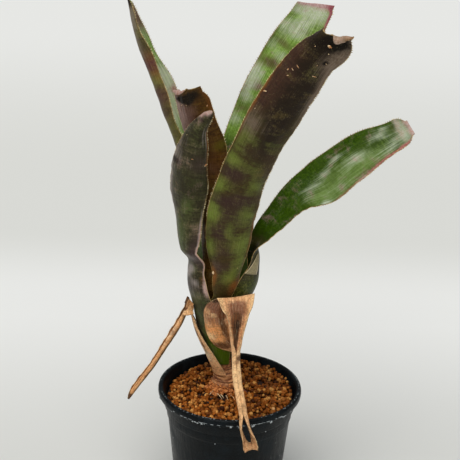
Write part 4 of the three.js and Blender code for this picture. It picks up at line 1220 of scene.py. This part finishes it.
leafInnerLeftValues = {
    "slot": "leaf", "layer": 7, "tipLeft": (5, 0.9), "tipRight": (11, 0.75), "freeFrom": 0.42,
    "spinesFrom": 0.5,
    "base": [
        (130, -112, 72, 72), (150, -112, 70, 70), (166, -112, 60, 60), (180, -112, 44, 44),
        (195, -112, 32, 32),
    ],
    "blade": [
        (-16, -3.5, 212.4, 10.9, 51.7, 50.6, -18), (-17.5, -3.5, 230.6, 13.8, 47.5, 45.9, -16.1),
        (-20.8, -4.5, 251, 14.7, 44.6, 41.6, -14.1), (-21.9, -5.5, 273.9, 15.1, 44.4, 38, -12.3),
        (-27.8, -8, 294.9, 13.8, 50.2, 38.4, -11.1), (-33.4, -11, 318.1, 11.5, 40.5, 42.4, -6.6),
    ],
    # the amber ground and the broad warm coat here paint light glowing through the blade
    "outerMasks": {
        "Purple": [(-0.65, 0.9, 0.55, 0.05, 1.4), (0.4, 0.7, 0.5, 0.02, 0.6)],
        "Green": [(0.8, 0.775, 0.5, 0.015, 1.0), (0.7, 0.62, 0.4, 0.02, 0.7), (0.9, 0.7, 0.3, 0.01, 0.4)],
        "WarmAndLit": [
            (0.5, 0.7, 0.6, 0.12, 0.55), (0.95, 0.94, 0.15, 0.04, 1.0), (-0.9, 0.87, 0.3, 0.03, 0.6),
            (0.1, 0.8, 0.2, 0.05, 0.5),
        ],
        "SilverAndSheen": [(-0.8, 0.91, 0.3, 0.05, 0.8), (-0.95, 0.96, 0.15, 0.02, 0.8)],
        "Dark": [
            (0.35, 0.975, 0.35, 0.016, 1.0), (-0.5, 0.972, 0.3, 0.009, 1.6),
            (-0.1, 0.965, 0.15, 0.012, 1.4),
        ],
    },
    "innerMasks": {**plainMasks["inner"], "Pink": [(0, 0.99, 2, 0.04, 1.5)]},
    "scars": [(0.75, 0.928, 1.2, 0.8, 30), (-0.55, 0.945, 2.6, 0.35, 60), (-0.3, 0.945, 2.4, 0.35, 120)],
    "creases": [
        (-0.65, 0.06, 0.9, 1.05, -0.7), (-0.4, 0.06, 0.88, 1.05, 0.7), (-0.1, 0.07, 0.9, 1.05, -0.6),
    ],
    "lip": ([(-1, 165), (-0.25, 150), (0, 8), (1, 8)], [(-1, 1.3), (-0.3, 1.2), (0, 0.3), (1, 0.3)]),
    "outer": {
        "Ground": ("#4e3211", "#654813"), "Green": ("#6f6818", "#595313"), "Purple": ("#755449", "#5b3f38"),
        "WarmAndLit": ("#84501d", "#5c3413"), "SilverAndSheen": ("#b3958b", "#94796f"), "specks": 0.15,
    },
    "inner": {"Ground": ("#2b2210", "#3a3316")},
}

livingLeaves = {
    "leaf_front": leafFrontValues,
    "leaf_front_left": leafFrontLeftValues,
    "leaf_right": leafRightValues,
    "leaf_back_left": leafBackLeftValues,
    "leaf_back_right": leafBackRightValues,
    "leaf_inner_left": leafInnerLeftValues,
}

trimValues = {
    "spine": ("#fff0bc", "#8a6a34", 500, 2, 0.5), "rimDark": "#6a5436", "dryRim": "#f4cf98",
}


def trimMaterial(name, ground, dark, scale, detail, roughness):
    return paintPlain(name, {
        "noises": {"shade": (scale, detail)}, "ground": ground, "coats": [(dark, "shade", 0.35, 0.65)],
        "roughness": roughness,
    })


def rimMaterial(node, ground):
    return trimMaterial(node + "_rim", ground, trimValues["rimDark"], 350, 3, 0.55)


# small torn chips of dried skin that stand a little proud of the blades; in a leaf's values each is
# a place across and along, a length, a width, a turn in degrees and a lift
scarValues = {
    "seed": 17, "height": 0.22, "ragged": 0.35, "seat": 0.42,
    "look": {
        "noises": {"shade": (900, 3, 0.6)}, "ground": "#f0d3a4", "coats": [("#b9753c", "shade", 0.4, 0.62)],
        "roughness": 0.5, "relief": ({"shade": 1}, 0.0003, 1),
    },
}


def makeScars():
    v = scarValues
    draw = random.Random(v["seed"])
    bm = bmesh.new()
    for leaf in livingLeaves.values():
        point, length = bladeShape(leaf)
        cutAt = acrossCurve(leaf.get("tipCut"))
        for s, t, long, wide, turned, lift in [(*scar, 0)[:6] for scar in leaf.get("scars", [])]:
            d = t * length - cutAt(s) * smoothstep(leafValues["cutFrom"], 1, t)
            spot, along, across, out = frameAt(point, d, s)
            out = out.normalized() * leaf.get("scarFace", 1)
            angle = math.radians(turned)
            first = (along * math.cos(angle) + across * math.sin(angle)).normalized()
            second = out.cross(first)
            for vert in addBead(bm, 0.5, Matrix()):
                x, y, z = vert.co * (1 + v["ragged"] * draw.uniform(-1, 1))
                curl = 0.5 * abs(x) * v["height"]
                vert.co = spot + first * x * long + second * y * wide
                vert.co += out * (z * v["height"] * 2 + v["seat"] + curl + lift)
                vert.co *= mm
    bmesh.ops.recalc_face_normals(bm, faces=bm.faces)
    addPiece("leaf_scars", bm, [paintPlain("driedScars", v["look"])], "leaf")


auricleValues = {
    # two lower corners and the top corner, each across and along the blade
    "corners": [(-1, 0.318), (-0.4, 0.297), (-0.28, 0.362)],
    "lift": 0.75, "bow": 0.5, "thick": 0.35, "segments": 14, "reach": 0.94,
    "looks": {"Ground": ("#b5a57c", "#9d9472"), "margin": "#ffe9bd", "grit": 0.5, "veins": 0.5,
              "edge": (0.42, 0.5)},
}


def makeAuricle():
    # the papery three-cornered ear at the mouth of the right leaf's sheath
    v = auricleValues
    point, length = bladeShape(leafRightValues)
    bm = bmesh.new()
    bmesh.ops.create_grid(bm, x_segments=v["segments"], y_segments=v["segments"], size=1)
    unwrap(bm)
    (leftS, leftT), (rightS, rightT), (topS, topT) = v["corners"]
    for vert in bm.verts:
        across, up = (vert.co.x + 1) / 2, (vert.co.y + 1) / 2 * v["reach"]
        s = (leftS + (rightS - leftS) * across) * (1 - up) + topS * up
        d = ((leftT + (rightT - leftT) * across) * (1 - up) + topT * up) * length
        spot = point(d, s)
        along = (spot - point(d - 0.6, s)).normalized()
        side = (point(d, s + 0.05) - spot).normalized()
        bow = v["bow"] * math.sin(across * math.pi) * (1 - up)
        vert.co = (spot + side.cross(along) * (v["lift"] + bow)) * mm
    skin = leafSkin("leaf_right_ear", "", {**outerLooks, **v["looks"]}, {})
    thicken(addPiece("leaf_right_ear", bm, [skin], "leaf"), v["thick"])


def makeLivingLeaves():
    spines = trimMaterial("paleSpines", *trimValues["spine"])
    for node, leaf in livingLeaves.items():
        looks = {"outer": {**outerLooks, **leaf["outer"]}, "inner": {**innerLooks, **leaf["inner"]}}
        skins = [leafSkin(node + "_" + face, face, look, leaf[face + "Masks"])
                 for face, look in looks.items()]
        rim = rimMaterial(node, looks["outer"]["margin"])
        makeLeaf(node + "_blade", node, leaf, [*skins, rim])
        makeSpines(node + "_spines", leaf, spines)
        print("made", node)
    makeScars()
    makeAuricle()


# Dry leaves

# StainAndShade is the mauve-brown colour of the skin, and also painted shade on the shadow side of the left
# strap and in the fold of the front one
dryLooks = {
    "light": "#f0be84", "dark": "#c98c52", "brown": "#7d4522", "hair": "#fbdcae", "StainAndShade": "#6d4a40",
    # Bright is painted light: the lit sides and rolled edges of the dry leaves, a highlight on the hood, and
    # the brightened foot of the left one
    "Bright": "#ffdba6", "Shade": "#4a2a12", "NearBlack": "#140b06",
# NearBlack is painted shade in the fold of the front strap, under its collar edge and in its slit, and it also
# darkens the tips
}
dryLeftValues = {
    "slot": "dry_leaf", "layer": 0, "tipLeft": (8, 0.4), "tipRight": (8, 0.4), "wave": 0, "freeFrom": 0.3,
    "base": [
        (100, -165, 84, 84), (111, -165, 84, 62), (120, -165, 70, 48), (129, -165, 50, 35),
        (141, -165, 30, 20), (151, -165, 17, 10),
    ],
    "blade": [
        (-30.4, 5.5, 156.8, 5.3, 24.9, 25, -74.9), (-31.2, 4.5, 158.9, 4.4, 39.7, 40, -74.8),
        (-31.2, 3, 156.4, 3.9, 95.3, 95, -75), (-33.7, 1, 148.9, 4.9, 129.4, 130, -75.2),
        (-40.5, -4, 136.8, 5.8, 145.2, 145, -75.1), (-54.6, -10, 114.5, 5.1, 146.9, 145.1, -75.1),
        (-68.3, -15, 96, 4.7, 146.2, 145, -75), (-72.9, -16.5, 89.8, 3.5, 145.8, 144.9, -74.6),
    ],
    "outerMasks": {
        # the warm coat here brightens the shaded foot of the leaf as painted light
        "WarmAndLit": [(0, 0.2, 3, 0.12, 1.4)],
        "StainAndShade": [(-0.38, 0.75, 0.13, 0.2, 1.1), (0.38, 0.75, 0.13, 0.2, 1.1), (0, 0.5, 1, 0.02, 0.7)],
        "Bright": [
            (0.1, 0.13, 0.5, 0.03, 1.1), (0, 0.3, 0.3, 0.03, 0.8), (-0.8, 0.7, 0.2, 0.2, 0.9),
            (0.85, 0.6, 0.15, 0.1, 0.5),
        ],
        "Shade": [
            (0.2, 0.47, 1, 0.012, 1.0), (-0.95, 0.25, 0.14, 0.08, 1.2), (-0.3, 0.33, 0.3, 0.02, 1.1),
            (0.1, 0.25, 0.2, 0.015, 1.1), (-0.4, 0.15, 0.2, 0.015, 1.0), (0.1, 0.4, 0.5, 0.01, 1.0),
            (0.5, 0.2, 0.1, 0.05, 0.9),
        ],
        "NearBlack": [(0, 1, 3, 0.02, 1.8)],
    },
    "innerMasks": {
        "Shade": [(0, 0.45, 2, 0.06, 1), (0, 0.25, 1, 0.1, 0.7)], "NearBlack": [(0, 1, 3, 0.02, 1.8)],
    },
    "looks": {
        "StainAndShade": "#4a3f1b", "light": "#ecb47c", "dark": "#c0804c", "Bright": "#ffe4bc", "WarmAndLit": "#ffc890",
    },
}
dryFrontValues = {
    "slot": "dry_leaf", "layer": 1, "tipLeft": (3, 0.8), "tipRight": (3, 0.8), "wave": 0, "freeFrom": 0.42,
    "base": [
        (105, 30, 75, 75), (119, 25, 72, 72), (128, -15, 92, 86), (137, -35, 86, 82), (148, -54, 70, 66),
        (158, -62, 60, 58), (165, -66, 46, 46),
    ],
    "blade": [
        (2.2, -14, 171.3, 13.8, 8, 8, 8, 5), (2.3, -17, 172.8, 13.2, 10, 10, 6, 7),
        (2.6, -20, 170.6, 13, 35, 35, 6, 5), (3, -23.5, 163, 12, 88, 88, 6),
        (3, -28.5, 148, 9.5, 130, 130, 6), (3.2, -34, 134.5, 8, 160, 160, 6),
        (5, -42.5, 119, 8, 165, 165, 6), (9, -53, 103, 8.2, 162, 162, 4), (11.2, -57.5, 93, 8, 135, 135, 2),
        (14.5, -59.5, 84, 7.8, 95, 95, 0), (16, -60.5, 78, 7.5, 70, 70, 0),
    ],
    "slit": (0.88, 0.975, 0.3), "closing": (0.6, 0.9, 24),
    "outerMasks": {
        "StainAndShade": [
            (-0.75, 0.365, 0.25, 0.02, 1.2), (-0.75, 0.29, 0.25, 0.02, 0.7), (-0.5, 0.34, 0.15, 0.02, 0.9),
            (-0.6, 0.25, 0.12, 0.02, 0.9), (-0.95, 0.24, 0.08, 0.015, 0.8),
        ],
        "WarmAndLit": [(-0.7, 0.2, 0.4, 0.05, 1.2), (-0.3, 0.2, 0.2, 0.04, 0.9), (0, 0.8, 2, 0.06, 0.7)],
        "Bar": [
            (0.7, 0.79, 0.35, 0.008, 1.3), (0.7, 0.75, 0.3, 0.006, 0.9), (0.7, 0.705, 0.3, 0.006, 0.8),
            (0.6, 0.83, 0.4, 0.008, 0.9), (-0.6, 0.845, 0.3, 0.008, 0.8),
        ],
        "Bright": [
            (0, 0.86, 2, 0.12, 0.5), (0, 0.7, 2, 0.06, 0.8), (0, 0.41, 1, 0.012, 0.6),
            (-0.68, 0.315, 0.08, 0.007, 0.9), (-0.92, 0.2, 0.1, 0.02, 0.9),
        ],
        "Shade": [
            (0.75, 0.655, 0.3, 0.008, 1.2), (-0.45, 0.28, 0.07, 0.08, 1.1), (-0.75, 0.15, 0.3, 0.02, 0.9),
            (0.4, 0.25, 0.25, 0.1, 0.7),
        ],
        "NearBlack": [(-0.86, 0.388, 0.12, 0.009, 1.3), (-0.5, 0.9, 0.15, 0.02, 0.8)],
    },
    "innerMasks": {
        "StainAndShade": [(0.05, 0.45, 0.42, 0.01, 0.6), (0, 0.48, 0.36, 0.016, 1.1), (0, 0.52, 0.3, 0.02, 1.4)],
        "Bright": [
            (-0.92, 0.5, 0.12, 0.09, 1.3), (0.95, 0.5, 0.12, 0.09, 1.3), (0.4, 0.43, 0.3, 0.008, 0.5),
        ],
        "Shade": [(0.02, 0.505, 0.24, 0.014, 1.3), (0, 0.54, 0.22, 0.02, 1.6), (0, 0.93, 0.5, 0.04, 0.9)],
        "NearBlack": [
            (0.04, 0.53, 0.13, 0.012, 1.3), (0.02, 0.56, 0.13, 0.02, 1.9), (0, 0.59, 0.1, 0.02, 1.8),
            (-0.02, 0.62, 0.06, 0.015, 1.5), (0, 0.945, 0.25, 0.015, 0.7),
        ],
    },
    "looks": {
        "light": "#f2c08c", "dark": "#cd9062", "StainAndShade": "#754a3a", "WarmAndLit": "#f2a664", "Bright": "#ffd29a",
        "Bar": "#9a5a2e",
    },
}


# coats under and over the grain, each its colour, its noise and the span where it comes up
drySkinValues = {
    "noises": {
        "cloud": (140, 4, 0.6, 0.5), "grain": (620, 4, 0.7), "lines": (1, 5, 0.65, 0.0, (42, 8.5, 1)),
        "hairs": (1, 3, 0.6, 0.0, (126, 20.4, 1)), "wrinkles": (1, 4, 0.6, 0.0, (3.36, 136, 1)),
    },
    "tone": (0.38, 0.62), "mask": (0.15, 0.9, 0, 0.92), "grain": (0.3, 0.68, 0.6, 1.8), "grainShare": 0.55,
    "under": [("brown", "cloud", 0.52, 0.7, 0, 0.6), ("dark", "lines", 0.52, 0.66, 0, 0.4)],
    "over": [("hair", "hairs", 0.52, 0.72, 0, 0.45), ("brown", "hairs", 0.48, 0.3, 0, 0.5),
             ("brown", "wrinkles", 0.52, 0.72, 0, 0.4)],
    "rough": (0.3, 0.7, 0.5, 0.72), "specular": 0.2, "relief": (0.0004, 0.9),
}


def drySkin(name, face, looks, masks):
    v = drySkinValues
    paint = Paint(name)
    fields = bladeFields(paint, v["noises"])
    cloud, grain, lines, hairs, wrinkles = fields.values()
    base = paint.mix(paint.ramp(lines, *v["tone"]), looks["light"], looks["dark"])
    sway = paint.swaying((cloud, 1.2), (lines, 0.8))
    for kind in masks:
        field = paint.math("ADD", paint.attribute(face + kind), sway)
        base = paint.coat(base, looks[kind], field, *v["mask"])
    for kind, field, *span in v["under"]:
        base = paint.coat(base, looks[kind], fields[field], *span)
    base = paint.mix(v["grainShare"], base, paint.ramp(grain, *v["grain"]), "MULTIPLY")
    for kind, field, *span in v["over"]:
        base = paint.coat(base, looks[kind], fields[field], *span)
    rough = paint.ramp(lines, *v["rough"])
    values = {"Base Color": base, "Roughness": rough, "Specular IOR Level": v["specular"]}
    return paint.finish(values, paint.total(hairs, (lines, 1.5), (wrinkles, 0.8)), *v["relief"])


def makeDryLeaves():
    for node, leaf in (("dry_leaf_left", dryLeftValues), ("dry_leaf_front", dryFrontValues)):
        looks = {**dryLooks, **leaf["looks"]}
        skins = [drySkin(node + "_" + face, face, looks, leaf[face + "Masks"])
                 for face in ("outer", "inner")]
        makeLeaf(node + "_blade", node, leaf, [*skins, rimMaterial(node, trimValues["dryRim"])])
        print("made", node)
    makeKneeFlap()


flapValues = {
    "corners": [(-30.8, 3.4, 160), (-35.6, -1.6, 150.6), (-27.4, -0.6, 151.4)], "segments": 10, "top": 0.12,
    "bow": 1.6, "crumple": 0.4, "thick": 0.5, "light": "#f4c896", "uvSize": (0.24, 0.06),
}


def makeKneeFlap():
    # a torn three-cornered scrap of skin over the bend of the left dry leaf
    v = flapValues
    top, left, right = [Vector(corner) for corner in v["corners"]]
    bm = bmesh.new()
    bmesh.ops.create_grid(bm, x_segments=v["segments"], y_segments=v["segments"], size=1)
    unwrap(bm, *v["uvSize"])
    for vert in bm.verts:
        across, down = (vert.co.x + 1) / 2, (vert.co.y + 1) / 2
        spot = top.lerp(left.lerp(right, across), v["top"] + (1 - v["top"]) * down)
        bow = v["bow"] * math.sin(across * math.pi) * down + v["crumple"] * noise.noise(spot / 2)
        vert.co = (spot - Vector((0.1, 1, -0.1)) * bow) * mm
    skin = drySkin("dry_leaf_left_flap", "", {**dryLooks, "light": v["light"]}, {})
    thicken(addPiece("dry_leaf_left_flap", bm, [skin], "dry_leaf"), v["thick"])


# Floor, light and camera

stageValues = {
    "floor": "#f1f2f1", "floorNearShade": "#dcddda", "floorBand": "#e2e3e0", "floorRoughness": 0.95,
    "floorSpecular": 0.1, "floorSize": 6,
    "world": "#eef2f4", "worldStrength": 0.3,
    "sunFrom": (-0.14, -0.42, 0.9), "sunStrength": 2.3, "sunSpread": 55, "sunTint": "#fffdf9",
    "lens": 86.09, "cameraPlace": (-3.3, -714.2, 491.7), "cameraDown": 21.07, "cameraRoll": 1.72,
}


def makeFloor():
    v = stageValues
    bm = bmesh.new()
    bmesh.ops.create_grid(bm, x_segments=1, y_segments=1, size=v["floorSize"])
    paint = Paint("paleFloor")
    far = paint.axis(paint.place, "Y")
    # the floor is painted darker close to the plant as its shadow, and a little darker in a band further back
    shade = paint.total(paint.ramp(far, 0, 0.35), (paint.noise(3, 2), 0.1))
    band = paint.math("MULTIPLY", paint.ramp(far, 0.36, 0.55), paint.ramp(far, 1.8, 0.7))
    base = paint.mix(band, paint.mix(shade, v["floorNearShade"], v["floor"]), v["floorBand"])
    floor = addObject("floor", toMesh("floor", bm))
    floor.data.materials.append(paint.finish({
        "Base Color": base, "Roughness": v["floorRoughness"], "Specular IOR Level": v["floorSpecular"],
    }))


def makeLights():
    v = stageValues
    world = bpy.data.worlds.new("softRoom")
    world.use_nodes = True
    background = world.node_tree.nodes["Background"]
    background.inputs["Color"].default_value = colour(v["world"])
    background.inputs["Strength"].default_value = v["worldStrength"]
    bpy.context.scene.world = world
    data = bpy.data.lights.new("softDaylight", "SUN")
    data.energy = v["sunStrength"]
    data.angle = math.radians(v["sunSpread"])
    data.color = colour(v["sunTint"])[:3]
    sun = addObject("softDaylight", data)
    sun.rotation_euler = (-Vector(v["sunFrom"])).to_track_quat("-Z", "Y").to_euler()


def makeCamera():
    v = stageValues
    data = bpy.data.cameras.new("camera")
    data.lens = v["lens"]
    data.sensor_width = 36
    camera = addObject("camera", data)
    tilt = Matrix.Rotation(math.radians(90 - v["cameraDown"]), 4, "X")
    roll = Matrix.Rotation(math.radians(v["cameraRoll"]), 4, "Z")
    camera.matrix_world = Matrix.Translation(Vector(v["cameraPlace"]) * mm) @ tilt @ roll
    bpy.context.scene.camera = camera


makeCamera()
makeFloor()
makeLights()
print("stage is set")
makePot()
makeDroplets()
print("pot is made")
makeGritBed()
makeGranules()
print("grit is made")
makeStem()
makeRoots()
makeLitter()
print("stem is made")
makeLivingLeaves()
makeDryLeaves()
bpy.context.scene.view_settings.view_transform = "Standard"
